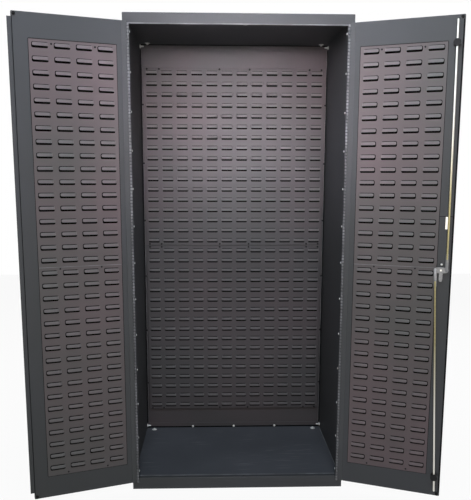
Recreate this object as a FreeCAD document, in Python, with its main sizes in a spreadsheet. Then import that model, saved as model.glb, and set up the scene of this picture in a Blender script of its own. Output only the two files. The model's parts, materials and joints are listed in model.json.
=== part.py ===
import FreeCAD, Part
import math
import os
import re
import Sketcher

# Two-door bin cabinet of folded sheet steel, doors standing open, louvred panels
# on the back wall and inside both doors, three-point rod lock in the right door.
# Millimetres, +Z up, origin at the middle of the footprint, front towards -Y.

SIZES = [
    ("width", 914.4, "cabinet width"),
    ("depth", 609.6, "cabinet depth"),
    ("height", 1981.2, "cabinet height"),
    ("sheet", 1.5, "cabinet and door sheet"),
    ("gauge", 1.2, "louvred panel sheet"),
    ("jamb", 26, "face of the front jamb"),
    ("jamb_return", 20, "depth of the jamb's inner fold"),
    ("header", 44, "front height of the top"),
    ("header_lip", 26, "depth of the fold under the header"),
    ("base", 52, "front height of the bottom"),
    ("base_lip", 26, "depth of the fold on the base"),
    ("floor_level", 38, "upper face of the floor"),
    ("edge_flange", 20, "back flange of a side"),
    ("end_flange", 25, "back flange of top and bottom"),
    ("channel", 80, "web of the floor channel"),
    ("channel_foot", 20, "flange of the floor channel"),
    ("channel_end", 30, "floor channel short of each side"),
    ("standoff", 12, "back louvred panel off the back"),
    ("back_panel_side", 15.2, "back panels short of the cabinet's side"),
    ("back_panel_foot", 144, "lower edge of the lower back panel"),
    ("back_panel_head", 110.2, "back panels under the cabinet top"),
    ("panel_gap", 1, "gap between two panels"),
    ("back_pitch", 73.2, "step of the back louvres"),
    ("back_louver", 54, "width of a back louvre"),
    ("door_pitch", 81.5, "step of the door louvres"),
    ("door_louver", 58, "width of a door louvre"),
    ("row_pitch", 50.8, "step of the rows"),
    ("louver_rise", 19, "height of a louvre"),
    ("louver_proud", 6, "reach of a louvre off its panel"),
    ("louver_step", 4, "height of a louvre's step off its panel"),
    ("louver_root", 8, "joined foot of a louvre"),
    ("louver_margin", 10, "least plain edge of a louvred panel"),
    ("knuckle", 4.5, "hinge barrel radius"),
    ("pin_radius", 2, "hinge pin radius"),
    ("pin_play", 0.08, "hinge pin running clearance"),
    ("leaf", 1.5, "hinge leaf thickness"),
    ("leaf_depth", 16, "frame leaf on the jamb fold"),
    ("leaf_end", 14, "frame leaf short of the opening"),
    ("hinge_gap", 0.4, "hinge barrel off the jamb face"),
    ("knuckle_gap", 0.4, "gap between two knuckles"),
    ("hinge_steps", 2, "knuckles of the frame leaf"),
    ("leaf_reach", 24, "barrel axis to door edge"),
    ("leaf_leg", 14, "folded edge of the door leaf"),
    ("left_open", 160.6, "left door open angle"),
    ("right_open", 158.3, "right door open angle"),
    ("door_thick", 20, "door depth"),
    ("door_head", 33, "door top under the cabinet top"),
    ("door_foot", 33, "door bottom over the floor"),
    ("door_gap", 6, "gap between the closed doors"),
    ("top_rail", 92, "door rail above the louvres"),
    ("bottom_rail", 88, "door rail below the louvres"),
    ("hinge_stile", 20, "door stile at the hinge"),
    ("free_stile", 56, "door stile at the free edge"),
    ("panel_lap", 4, "door panel behind the stiles"),
    ("seam_rise", 5, "seam of a door's panels over their middle"),
    ("seam_step", 16, "foot of the first louvres over the seam"),
    ("astragal", 15, "meeting strip past the left door"),
    ("astragal_end", 10, "meeting strip short of the opening"),
    ("astragal_leg", 14, "meeting strip on the door edge"),
    ("stop_clear", 0.4, "clearance of parts that close on each other"),
    ("bumper_radius", 6.5, "bumper radius at the door"),
    ("bumper_tip", 5.2, "bumper radius at the tip"),
    ("bumper_inset", 9, "bumper from the door end"),
    ("bumper_side", 10, "bumper from the free edge"),
    ("screw_radius", 4, "cam screw head radius"),
    ("screw_head", 3, "cam screw head height"),
    ("lock_drop", 4.6, "lock spindle under the door's middle"),
    ("lock_inset", 40, "lock spindle from the free edge"),
    ("cam_arm", 21.6, "cam centre to rod pin"),
    ("cam_width", 15, "cam arm width"),
    ("cam_thick", 3, "cam and rod end thickness"),
    ("cam_off", 9, "cam off the door's inner face"),
    ("cam_tongue", 46, "cam centre to tongue tip"),
    ("link_gap", 0.4, "rod end off the cam"),
    ("rod_radius", 4, "lock rod radius"),
    ("rod_off", 17, "rod axis off the door's inner face"),
    ("rod_clear", 7, "unlocked rod end short of the opening's edge"),
    ("rod_hole", 6, "rod hole radius in header and base"),
    ("link_length", 74, "flat end of a rod"),
    ("link_width", 12, "width of a rod's flat end"),
    ("guide_radius", 14, "rod guide radius"),
    ("guide_height", 22, "rod guide height"),
    ("guide_play", 0.4, "rod in its guide"),
    ("guide_drop", 103, "upper guide under the door top"),
    ("guide_rise", 87, "lower guide over the door bottom"),
    ("upper_guide_inset", 25, "upper guide from the free edge"),
    ("lower_guide_inset", 24, "lower guide from the free edge"),
    ("clip_rise", 186, "stiffener clip over the lock"),
    ("clip_inset", 26.4, "stiffener clip from the free edge"),
    ("clip_height", 48, "stiffener clip height along the rod"),
    ("clip_width", 12, "stiffener clip width"),
    ("spindle_radius", 6, "lock spindle radius"),
    ("spindle_play", 0.08, "spindle running clearance"),
    ("hub_radius", 14, "handle hub radius"),
    ("hub_length", 27, "handle hub length"),
    ("lever_length", 96, "handle lever length"),
    ("lever_width", 20, "handle lever width at the hub"),
    ("lever_tip", 13, "handle lever width at the tip"),
    ("lever_thick", 8, "handle lever thickness"),
    ("lever_off", 17, "lever off the door"),
    ("plug_radius", 6, "key plug radius"),
    ("plug_depth", 9, "key plug depth"),
    ("plug_proud", 1.5, "key plug off the hub face"),
    ("slot_width", 1.6, "key slot width"),
    ("slot_height", 6.6, "key slot height"),
    ("slot_depth", 4.5, "key slot depth"),
    ("plug_play", 0.08, "key plug running clearance"),
]

doc = FreeCAD.newDocument("bin_cabinet")
sheet = doc.addObject("Spreadsheet::Sheet", "sizes")
for row, (alias, value, meaning) in enumerate(SIZES, start=1):
    sheet.set("A%d" % row, meaning)
    sheet.set("B%d" % row, str(value))
    sheet.setAlias("B%d" % row, alias)
doc.recompute()

ALIASES = {alias for alias, value, meaning in SIZES}
WORD = re.compile(r"[a-z_]+")

# Places that several pieces share, as expressions of the sizes above.
FRONT = "(-depth/2)"
BACK = "(depth/2)"
OPEN_TOP = "(height-header)"
AXIS_X = "(width/2-jamb-leaf+knuckle)"
AXIS_Y = "(-depth/2-knuckle-hinge_gap)"
INNER = "(leaf-knuckle)"
OUTER = "(leaf-knuckle-door_thick)"
DOOR_TOP = "(height-door_head)"
DOOR_BOTTOM = "door_foot"
PAN_NEAR = "leaf_reach"
PAN_FAR = "(width/2-jamb-leaf+knuckle-door_gap/2)"
LOUVER_FACE = "(depth/2-2*sheet-standoff)"
DOOR_FACE = "(leaf-knuckle-sheet)"
LOCK_X = "(width/2-jamb-leaf+knuckle-door_gap/2-lock_inset)"
CAM_LOW = "(leaf-knuckle+cam_off)"
ROD_Y = "(leaf-knuckle+rod_off)"
LINK_LOW = "(leaf-knuckle+cam_off+cam_thick+link_gap)"
UPPER_GUIDE = "(height-door_head-guide_drop)"
LOWER_GUIDE = "(door_foot+guide_rise)"
LOCK_Z = "((height-door_head+door_foot)/2-lock_drop)"
UPPER_SWAY = "(lock_inset-upper_guide_inset)/(%s-%s-cam_arm)" % (UPPER_GUIDE, LOCK_Z)
LOWER_SWAY = "(lock_inset-lower_guide_inset)/(%s-cam_arm-%s)" % (LOCK_Z, LOWER_GUIDE)

KNUCKLE = "((height-door_head-door_foot)/(2*hinge_steps-1))"
BACK_WIDE = "(width-2*back_panel_side)"
BACK_TALL = "((height-back_panel_head-back_panel_foot-panel_gap)/2)"
PANEL_NEAR = "(leaf_reach+hinge_stile-panel_lap)"
PANEL_FAR = "(width/2-jamb-leaf+knuckle-door_gap/2-free_stile+panel_lap)"
PANEL_FOOT = "(door_foot+bottom_rail-panel_lap)"
PANEL_TOP = "(height-door_head-top_rail+panel_lap)"
SEAM = "((%s+%s)/2+seam_rise)" % (PANEL_FOOT, PANEL_TOP)
SEAM_ROW = "(%s+panel_gap/2+seam_step)" % SEAM
ROWS_OVER = "(floor((%s-louver_margin-louver_rise-%s)/row_pitch)+1)" % (PANEL_TOP, SEAM_ROW)
ROWS_UNDER = "floor((%s-louver_margin-%s)/row_pitch)" % (SEAM_ROW, PANEL_FOOT)

SIGN = {"left": "", "right": "-"}
nodes = []


def size(expression):
    """Value of an expression of the sheet's sizes."""
    return float(sheet.evalExpression(expression))


def bound(expression):
    """The same expression with each size named as a cell of the sheet."""
    return WORD.sub(lambda word: "sizes." + word[0] if word[0] in ALIASES else word[0], expression)


def side_x(side, expression):
    """Distance towards the cabinet's middle, for a door or wall on that side."""
    return "%s(%s)" % (SIGN[side], expression)


def outward(side, expression):
    """Distance away from the cabinet's middle."""
    return "%s(%s)" % ({"left": "-", "right": ""}[side], expression)


def new_body(label, side=None):
    """A named body; one on a door is drawn shut, about the hinge axis, and turned open."""
    body = doc.addObject("PartDesign::Body", label)
    body.Label = label
    if side:
        hang(body, side)
    nodes.append(body)
    return body


def hang(piece, side):
    """Places a piece drawn in the shut door's frame on its hinge axis, turned open."""
    turn = {"left": "-left_open", "right": "right_open"}[side]
    upright = FreeCAD.Vector(0, 0, 1)
    piece.Placement = FreeCAD.Placement(FreeCAD.Vector(), FreeCAD.Rotation(upright, size(turn)))
    piece.setExpression("Placement.Rotation.Angle", bound(turn))
    piece.setExpression("Placement.Base.x", bound(outward(side, AXIS_X)))
    piece.setExpression("Placement.Base.y", bound(AXIS_Y))


def plane_of(body, role):
    """One of the body's own origin planes."""
    return [feature for feature in body.Origin.OriginFeatures if feature.Role == role][0]


def draw(body, role, loops=(), circles=(), offset="0"):
    """A sketch on an origin plane: closed outlines and circles, each size bound to the sheet."""
    sketch = body.newObject("Sketcher::SketchObject", body.Label + "_sketch")
    sketch.AttachmentSupport = [(plane_of(body, role), "")]
    sketch.MapMode = "FlatFace"
    sketch.setExpression("AttachmentOffset.Base.z", bound(offset))

    def pin_point(geometry, point, across, up):
        for kind, expression in (("DistanceX", across), ("DistanceY", up)):
            rule = Sketcher.Constraint(kind, -1, 1, geometry, point, size(expression))
            sketch.setExpression("Constraints[%d]" % sketch.addConstraint(rule), bound(expression))

    for corners in loops:
        spots = [FreeCAD.Vector(size(across), size(up), 0) for across, up in corners]
        first = sketch.GeometryCount
        count = len(corners)
        for index in range(count):
            sketch.addGeometry(Part.LineSegment(spots[index], spots[(index + 1) % count]), False)
        for index in range(count):
            following = first + (index + 1) % count
            sketch.addConstraint(Sketcher.Constraint("Coincident", first + index, 2, following, 1))
        for index, (across, up) in enumerate(corners):
            pin_point(first + index, 1, across, up)
    for across, up, radius in circles:
        middle = FreeCAD.Vector(size(across), size(up), 0)
        round_line = Part.Circle(middle, FreeCAD.Vector(0, 0, 1), size(radius))
        geometry = sketch.addGeometry(round_line, False)
        pin_point(geometry, 3, across, up)
        rule = Sketcher.Constraint("Radius", geometry, size(radius))
        sketch.setExpression("Constraints[%d]" % sketch.addConstraint(rule), bound(radius))
    return sketch


def box_loop(x0, y0, x1, y1):
    """Corners of a rectangle."""
    return [(x0, y0), (x1, y0), (x1, y1), (x0, y1)]


def pad(body, sketch, length, midplane=False):
    """Adds the sketch's outline, carried along its normal."""
    feature = body.newObject("PartDesign::Pad", body.Label + "_pad")
    feature.Profile = sketch
    feature.SideType = "Symmetric" if midplane else "One side"
    feature.setExpression("Length", bound(length))
    sketch.Visibility = False
    return feature


def pocket(body, sketch, length, along_normal=True):
    """Cuts the sketch's outline out of the body and makes sure that it cut something."""
    doc.recompute()
    before = body.Shape.Volume
    feature = body.newObject("PartDesign::Pocket", body.Label + "_pocket")
    feature.Profile = sketch
    feature.Reversed = along_normal
    feature.setExpression("Length", bound(length))
    doc.recompute()
    if feature.Shape.Volume > before - 1e-6:
        raise RuntimeError("nothing was cut from " + body.Label)
    return feature


def pattern(body, name, features, steps):
    """Repeats features along one or two axes of a sketch: (sketch, axis, length, count) each."""
    repeat = body.newObject("PartDesign::MultiTransform", body.Label + name)
    repeat.Originals = features
    rows = []
    for sketch, axis, length, count in steps:
        step = doc.addObject("PartDesign::LinearPattern", body.Label + name + "_step")
        body.addObject(step)
        step.Direction = (sketch, [axis])
        step.setExpression("Length", bound(length))
        step.setExpression("Occurrences", bound(count))
        rows.append(step)
    repeat.Transformations = rows
    body.Tip = repeat
    return repeat


def group(label, shapes, side=None):
    """Several equal solids in one node, such as a pair of bumpers."""
    piece = doc.addObject("Part::Feature", label)
    piece.Label = label
    piece.Shape = Part.makeCompound(shapes)
    if side:
        hang(piece, side)
    nodes.append(piece)
    return piece


def fitting(length, item, step):
    """How many equal items fit on a length, a step apart, with the least margin at both ends."""
    return "(floor((%s-2*louver_margin-%s)/%s)+1)" % (length, item, step)


def hex_head(spot, direction):
    """A six-sided screw head standing on a face at spot."""
    radius = size("screw_radius")
    ring = [
        FreeCAD.Vector(radius * math.cos(math.radians(60 * k)), radius * math.sin(math.radians(60 * k)), 0)
        for k in range(7)
    ]
    head = Part.Face(Part.makePolygon(ring)).extrude(FreeCAD.Vector(0, 0, size("screw_head")))
    head.Placement = FreeCAD.Placement(spot, FreeCAD.Rotation(FreeCAD.Vector(0, 0, 1), direction))
    return head


def side_panel(side):
    """Side wall with the front jamb, its inner fold and the back flange, notched for header and base."""
    body = new_body(side + "_side_panel")

    def at(expression):
        return outward(side, expression)

    outline = [
        (at("width/2"), FRONT),
        (at("width/2-jamb"), FRONT),
        (at("width/2-jamb"), FRONT + "+jamb_return"),
        (at("width/2-jamb+sheet"), FRONT + "+jamb_return"),
        (at("width/2-jamb+sheet"), FRONT + "+sheet"),
        (at("width/2-sheet"), FRONT + "+sheet"),
        (at("width/2-sheet"), BACK + "-sheet"),
        (at("width/2-edge_flange"), BACK + "-sheet"),
        (at("width/2-edge_flange"), BACK),
        (at("width/2"), BACK),
    ]
    pad(body, draw(body, "XY_Plane", [outline]), "height-sheet")
    notch = [
        (at("width/2"), FRONT),
        (at("width/2-jamb"), FRONT),
        (at("width/2-jamb"), FRONT + "+jamb_return"),
        (at("width/2-sheet"), FRONT + "+jamb_return"),
        (at("width/2-sheet"), FRONT + "+sheet"),
        (at("width/2"), FRONT + "+sheet"),
    ]
    pocket(body, draw(body, "XY_Plane", [notch]), "base")
    pocket(body, draw(body, "XY_Plane", [notch], offset=OPEN_TOP), "header")


def back_panel():
    """Flat back sheet in front of the sides' back flanges."""
    body = new_body("back_panel")
    outline = box_loop("-width/2+sheet", "0", "width/2-sheet", "height-sheet")
    pad(body, draw(body, "XZ_Plane", [outline], offset="-" + BACK + "+sheet"), "sheet")


def top_panel():
    """Top sheet folded down into the header and its lip, with a back flange and the rod hole."""
    body = new_body("top_panel")
    fold = [
        (FRONT, OPEN_TOP),
        (FRONT, "height"),
        (BACK, "height"),
        (BACK, "height-sheet"),
        (FRONT + "+sheet", "height-sheet"),
        (FRONT + "+sheet", OPEN_TOP),
    ]
    pad(body, draw(body, "YZ_Plane", [fold]), "width", midplane=True)
    lip = box_loop(FRONT + "+sheet", OPEN_TOP, FRONT + "+header_lip", OPEN_TOP + "+sheet")
    flange = box_loop(BACK + "-3*sheet", "height-end_flange", BACK + "-2*sheet", "height-sheet")
    pad(body, draw(body, "YZ_Plane", [lip, flange]), "width-2*sheet", midplane=True)
    drift = "(%s-%s)*%s" % (OPEN_TOP, UPPER_GUIDE, UPPER_SWAY)
    hole = ("door_gap/2+upper_guide_inset-" + drift, AXIS_Y + "+" + ROD_Y, "rod_hole")
    pocket(body, draw(body, "XY_Plane", circles=[hole], offset=OPEN_TOP), "sheet")


def bottom_panel():
    """Base front, its lip, and the floor one step lower, turned up at the back wall."""
    body = new_body("bottom_panel")
    front = box_loop(FRONT, "0", FRONT + "+sheet", "base")
    pad(body, draw(body, "YZ_Plane", [front]), "width", midplane=True)
    fold = [
        (FRONT + "+sheet", "base"),
        (FRONT + "+base_lip", "base"),
        (FRONT + "+base_lip", "floor_level"),
        (BACK + "-3*sheet", "floor_level"),
        (BACK + "-3*sheet", "floor_level+end_flange"),
        (BACK + "-2*sheet", "floor_level+end_flange"),
        (BACK + "-2*sheet", "floor_level-sheet"),
        (FRONT + "+base_lip-sheet", "floor_level-sheet"),
        (FRONT + "+base_lip-sheet", "base-sheet"),
        (FRONT + "+sheet", "base-sheet"),
    ]
    pad(body, draw(body, "YZ_Plane", [fold]), "width-2*sheet", midplane=True)
    drift = "(%s-base)*%s" % (LOWER_GUIDE, LOWER_SWAY)
    hole = ("door_gap/2+lower_guide_inset-" + drift, AXIS_Y + "+" + ROD_Y, "rod_hole")
    pocket(body, draw(body, "XY_Plane", circles=[hole], offset="base-sheet"), "sheet")


def floor_channel():
    """Channel under the middle of the floor, its web on the ground."""
    body = new_body("floor_channel")
    fold = [
        ("-channel/2-channel_foot", "floor_level-2*sheet"),
        ("-channel/2-channel_foot", "floor_level-sheet"),
        ("-channel/2+sheet", "floor_level-sheet"),
        ("-channel/2+sheet", "sheet"),
        ("channel/2-sheet", "sheet"),
        ("channel/2-sheet", "floor_level-sheet"),
        ("channel/2+channel_foot", "floor_level-sheet"),
        ("channel/2+channel_foot", "floor_level-2*sheet"),
        ("channel/2", "floor_level-2*sheet"),
        ("channel/2", "0"),
        ("-channel/2", "0"),
        ("-channel/2", "floor_level-2*sheet"),
    ]
    pad(body, draw(body, "YZ_Plane", [fold]), "width-2*channel_end", midplane=True)


def louvers(body, face, lean, middle, low, rows, wide, pitch, louver):
    """Rows and columns of tongues that step off the panel and stand open at the top, for bins to hang on."""
    columns = fitting(wide, louver, pitch)
    proud = "%s%slouver_proud" % (face, lean)
    tongue = [
        (face, low),
        (proud, low + "+louver_step"),
        (proud, low + "+louver_rise"),
        (face, low + "+louver_root"),
    ]
    first_x = "%s-((%s-1)*%s+%s)/2" % (middle, columns, pitch, louver)
    first = pad(body, draw(body, "YZ_Plane", [tongue], offset=first_x), louver)
    ladder = draw(body, "XZ_Plane", [box_loop("0", "0", pitch, "row_pitch")])
    steps = [
        (ladder, "H_Axis", "(%s-1)*%s" % (columns, pitch), columns),
        (ladder, "V_Axis", "(%s-1)*row_pitch" % rows, rows),
    ]
    pattern(body, "_louvers", [first], steps)


def back_louver_panel(label, foot):
    """Louvred tray on the back wall, its edges folded back to the wall."""
    body = new_body(label)

    def edge(inset):
        return box_loop("-%s/2+%s" % (BACK_WIDE, inset), "%s+%s" % (foot, inset),
                        "%s/2-%s" % (BACK_WIDE, inset), "%s+%s-%s" % (foot, BACK_TALL, inset))

    rim = draw(body, "XZ_Plane", [edge("0"), edge("gauge")], offset="-" + BACK + "+2*sheet")
    pad(body, rim, "standoff-gauge")
    pad(body, draw(body, "XZ_Plane", [edge("0")], offset="-" + LOUVER_FACE + "-gauge"), "gauge")
    rows = fitting(BACK_TALL, "louver_rise", "row_pitch")
    low = "%s+(%s-(%s-1)*row_pitch-louver_rise)/2" % (foot, BACK_TALL, rows)
    louvers(body, LOUVER_FACE, "-", "0", low, rows, BACK_WIDE, "back_pitch", "back_louver")


def door_pan(side):
    """Door tray: outer skin, four edges and the inner frame of stiles and rails round the louvres."""
    body = new_body(side + "_door_pan", side)

    def frame(inset):
        return box_loop(side_x(side, PAN_NEAR + "+" + inset), DOOR_BOTTOM + "+" + inset,
                        side_x(side, PAN_FAR + "-" + inset), DOOR_TOP + "-" + inset)

    window = box_loop(side_x(side, PAN_NEAR + "+hinge_stile"), DOOR_BOTTOM + "+bottom_rail",
                      side_x(side, PAN_FAR + "-free_stile"), DOOR_TOP + "-top_rail")
    pad(body, draw(body, "XZ_Plane", [frame("0"), window], offset="-" + INNER), "sheet")
    pad(body, draw(body, "XZ_Plane", [frame("0"), frame("sheet")], offset="-" + INNER + "+sheet"),
        "door_thick-2*sheet")
    pad(body, draw(body, "XZ_Plane", [frame("0")], offset="-" + OUTER + "-sheet"), "sheet")
    if side == "right":
        bore = (side_x(side, LOCK_X), LOCK_Z, "spindle_radius+spindle_play")
        pocket(body, draw(body, "XZ_Plane", circles=[bore], offset="-" + INNER), "door_thick")


def door_louver_panel(side, level):
    """Louvred sheet behind the door's inner frame. The rows keep their step across the seam of both sheets."""
    body = new_body("%s_door_%s_louver_panel" % (side, level), side)
    if level == "upper":
        foot, top, low, rows = SEAM + "+panel_gap/2", PANEL_TOP, SEAM_ROW, ROWS_OVER
    else:
        foot, top, rows = PANEL_FOOT, SEAM + "-panel_gap/2", ROWS_UNDER
        low = "%s-%s*row_pitch" % (SEAM_ROW, rows)
    edge = box_loop(side_x(side, PANEL_NEAR), foot, side_x(side, PANEL_FAR), top)
    pad(body, draw(body, "XZ_Plane", [edge], offset="-" + DOOR_FACE), "gauge")
    middle = side_x(side, "(%s+%s)/2" % (PANEL_NEAR, PANEL_FAR))
    wide = "(%s-%s)" % (PANEL_FAR, PANEL_NEAR)
    louvers(body, DOOR_FACE, "+", middle, low, rows, wide, "door_pitch", "door_louver")


def knuckles(body, tongue, start, length, step, count):
    """Hinge barrel pieces, each a bored cylinder joined to its leaf, along the door's height."""
    rings = [("0", "0", "knuckle"), ("0", "0", "pin_radius+pin_play")]
    barrel = pad(body, draw(body, "XY_Plane", circles=rings, offset=start), length)
    neck = pad(body, draw(body, "XY_Plane", [tongue], offset=start), length)
    ladder = draw(body, "XZ_Plane", [box_loop("0", "0", "knuckle", step)])
    pattern(body, "_knuckles", [barrel, neck], [(ladder, "V_Axis", "(%s-1)*%s" % (count, step), count)])


def frame_leaf(side):
    """Hinge leaf screwed inside the jamb, with every second knuckle of the barrel."""
    body = new_body(side + "_hinge_frame_leaf")
    body.setExpression("Placement.Base.x", bound(outward(side, AXIS_X)))
    body.setExpression("Placement.Base.y", bound(AXIS_Y))
    plate = box_loop(side_x(side, "knuckle-leaf"), "knuckle+hinge_gap",
                     side_x(side, "knuckle"), "knuckle+hinge_gap+leaf_depth")
    pad(body, draw(body, "XY_Plane", [plate], offset="base+leaf_end"), OPEN_TOP + "-base-2*leaf_end")
    tongue = box_loop(side_x(side, "knuckle-leaf"), "0", side_x(side, "knuckle"), "knuckle+hinge_gap")
    knuckles(body, tongue, DOOR_BOTTOM + "+knuckle_gap", KNUCKLE + "-2*knuckle_gap",
             "2*" + KNUCKLE, "hinge_steps")


def door_leaf(side):
    """Wide hinge leaf that carries the door clear of the jamb, folded along the door's edge."""
    body = new_body(side + "_hinge_door_leaf", side)
    fold = [
        (side_x(side, "knuckle+hinge_gap"), "-knuckle"),
        (side_x(side, "leaf_reach-leaf"), "-knuckle"),
        (side_x(side, "leaf_reach-leaf"), "leaf-knuckle-leaf_leg"),
        (side_x(side, "leaf_reach"), "leaf-knuckle-leaf_leg"),
        (side_x(side, "leaf_reach"), "leaf-knuckle"),
        (side_x(side, "knuckle+hinge_gap"), "leaf-knuckle"),
    ]
    pad(body, draw(body, "XY_Plane", [fold], offset=DOOR_BOTTOM), DOOR_TOP + "-" + DOOR_BOTTOM)
    tongue = box_loop(side_x(side, "0"), "-knuckle", side_x(side, "knuckle+hinge_gap"), "leaf-knuckle")
    knuckles(body, tongue, DOOR_BOTTOM + "+" + KNUCKLE + "+knuckle_gap", KNUCKLE + "-2*knuckle_gap",
             "2*" + KNUCKLE, "(hinge_steps-1)")


def hinge_pin(side):
    """Pin through all the knuckles of one door."""
    body = new_body(side + "_hinge_pin")
    body.setExpression("Placement.Base.x", bound(outward(side, AXIS_X)))
    body.setExpression("Placement.Base.y", bound(AXIS_Y))
    pad(body, draw(body, "XY_Plane", circles=[("0", "0", "pin_radius")], offset=DOOR_BOTTOM),
        DOOR_TOP + "-" + DOOR_BOTTOM)


def meeting_strip():
    """Strip on the left door's free edge that the right door closes over."""
    body = new_body("meeting_strip", "left")
    fold = [
        (PAN_FAR, INNER + "-astragal_leg"),
        (PAN_FAR + "+sheet", INNER + "-astragal_leg"),
        (PAN_FAR + "+sheet", INNER + "+stop_clear"),
        (PAN_FAR + "+astragal", INNER + "+stop_clear"),
        (PAN_FAR + "+astragal", INNER + "+stop_clear+sheet"),
        (PAN_FAR, INNER + "+stop_clear+sheet"),
    ]
    pad(body, draw(body, "XY_Plane", [fold], offset="base+astragal_end"),
        OPEN_TOP + "-base-2*astragal_end")


def bumpers(side):
    """Rubber buttons at the free corners, which meet the header and the base."""
    across = size(side_x(side, PAN_FAR + "-bumper_side"))
    tall = size("knuckle-leaf+knuckle+hinge_gap-stop_clear")
    buttons = []
    for level in (DOOR_TOP + "-bumper_inset", DOOR_BOTTOM + "+bumper_inset"):
        spot = FreeCAD.Vector(across, size(INNER), size(level))
        button = Part.makeCone(size("bumper_radius"), size("bumper_tip"), tall, spot, FreeCAD.Vector(0, 1, 0))
        buttons.append(button)
    group(side + "_door_bumpers", buttons, side)


def spindle():
    """Shaft from the handle through the door to the cam."""
    body = new_body("lock_spindle", "right")
    ring = [(side_x("right", LOCK_X), LOCK_Z, "spindle_radius")]
    pad(body, draw(body, "XZ_Plane", circles=ring, offset="-" + CAM_LOW), "cam_off+door_thick")


def handle():
    """Hub with the key plug's bore and a tapered lever, pointing to the hinge when unlocked."""
    body = new_body("lock_handle", "right")
    start = "-" + OUTER
    hub = [(side_x("right", LOCK_X), LOCK_Z, "hub_radius")]
    pad(body, draw(body, "XZ_Plane", circles=hub, offset=start), "hub_length")
    lever = [
        (side_x("right", LOCK_X), LOCK_Z + "-lever_width/2"),
        (side_x("right", LOCK_X + "-lever_length"), LOCK_Z + "-lever_tip/2"),
        (side_x("right", LOCK_X + "-lever_length"), LOCK_Z + "+lever_tip/2"),
        (side_x("right", LOCK_X), LOCK_Z + "+lever_width/2"),
    ]
    pad(body, draw(body, "XZ_Plane", [lever], offset=start + "+lever_off"), "lever_thick")
    bore = [(side_x("right", LOCK_X), LOCK_Z, "plug_radius+plug_play")]
    pocket(body, draw(body, "XZ_Plane", circles=bore, offset=start + "+hub_length-plug_depth"), "plug_depth")


def key_plug():
    """Lock plug in the hub's face, with its key slot."""
    body = new_body("key_plug", "right")
    start = "-" + OUTER + "+hub_length-plug_depth"
    ring = [(side_x("right", LOCK_X), LOCK_Z, "plug_radius")]
    pad(body, draw(body, "XZ_Plane", circles=ring, offset=start), "plug_depth+plug_proud")
    slot = box_loop(side_x("right", LOCK_X + "+slot_width/2"), LOCK_Z + "-slot_height/2",
                    side_x("right", LOCK_X + "-slot_width/2"), LOCK_Z + "+slot_height/2")
    mouth = start + "+plug_depth+plug_proud"
    pocket(body, draw(body, "XZ_Plane", [slot], offset=mouth + "-slot_depth"), "slot_depth")


def cam_plate():
    """Cam with an arm for each rod and a tongue that reaches behind the left door."""
    body = new_body("lock_cam", "right")

    def at(across, up):
        return (side_x("right", LOCK_X + across), LOCK_Z + up)

    outline = [
        at("-cam_arm-cam_width/2", "-cam_width/3"),
        at("-cam_width/2", "-cam_width/2"),
        at("-cam_width/2", "-cam_tongue"),
        at("+cam_width/2", "-cam_tongue"),
        at("+cam_width/2", "-cam_width/2"),
        at("+cam_arm+cam_width/2", "-cam_width/3"),
        at("+cam_arm+cam_width/2", "+cam_width/3"),
        at("+cam_width/2", "+cam_width/2"),
        at("-cam_width/2", "+cam_width/2"),
        at("-cam_arm-cam_width/2", "+cam_width/3"),
    ]
    pad(body, draw(body, "XZ_Plane", [outline], offset="-" + CAM_LOW + "-cam_thick"), "cam_thick")


def cam_screw():
    """Screw that holds the cam on the spindle."""
    spot = FreeCAD.Vector(size(side_x("right", LOCK_X)), size(CAM_LOW + "+cam_thick"), size(LOCK_Z))
    group("cam_screw", [hex_head(spot, FreeCAD.Vector(0, 1, 0))], "right")


def rod_line(upper):
    """Where a rod starts at the cam and passes its guide, in the shut door's frame."""
    arm = "+cam_arm" if upper else "-cam_arm"
    start = FreeCAD.Vector(size(side_x("right", LOCK_X + arm)), size(ROD_Y), size(LOCK_Z))
    inset = "-upper_guide_inset" if upper else "-lower_guide_inset"
    level = UPPER_GUIDE if upper else LOWER_GUIDE
    guide = FreeCAD.Vector(size(side_x("right", PAN_FAR + inset)), size(ROD_Y), size(level))
    return start, guide


def rod(label, upper):
    """Round lock rod with a flat end at the cam and a pin that stops just short of the cam."""
    start, guide = rod_line(upper)
    along = (guide - start).normalize()
    edge = size(OPEN_TOP + "-rod_clear") if upper else size("base+rod_clear")
    tip = start + along * ((edge - start.z) / along.z)
    inward = FreeCAD.Vector(0, 1, 0)
    bar_start = start + along * (size("link_length") - size("link_width"))
    bar = Part.makeCylinder(size("rod_radius"), (tip - bar_start).Length, bar_start, along)
    across = along.cross(inward) * (size("link_width") / 2)
    foot = start - along * (size("link_width") / 2)
    head = start + along * size("link_length")
    low = inward * (size(LINK_LOW) - size(ROD_Y))
    corners = [foot - across + low, foot + across + low, head + across + low, head - across + low]
    flat = Part.Face(Part.makePolygon(corners + corners[:1])).extrude(inward * size("cam_thick"))
    stud = Part.makeCylinder(size("rod_radius"), size("cam_thick+screw_head/2"), start + low, inward)
    piece = doc.addObject("Part::Feature", label)
    piece.Label = label
    piece.Shape = bar.fuse([flat, stud]).removeSplitter()
    hang(piece, "right")
    nodes.append(piece)


def rod_guide(label, upper):
    """Round plastic guide on the door's stile, bored for the rod."""
    start, guide = rod_line(upper)
    along = (guide - start).normalize()
    inward = FreeCAD.Vector(0, 1, 0)
    foot = FreeCAD.Vector(guide.x, size(INNER), guide.z)
    block = Part.makeCylinder(size("guide_radius"), size("guide_height"), foot, inward)
    reach = 2 * size("guide_radius")
    bore = Part.makeCylinder(size("rod_radius+guide_play"), 2 * reach, guide - along * reach, along)
    piece = doc.addObject("Part::Feature", label)
    piece.Label = label
    piece.Shape = block.cut(bore)
    hang(piece, "right")
    nodes.append(piece)


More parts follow.
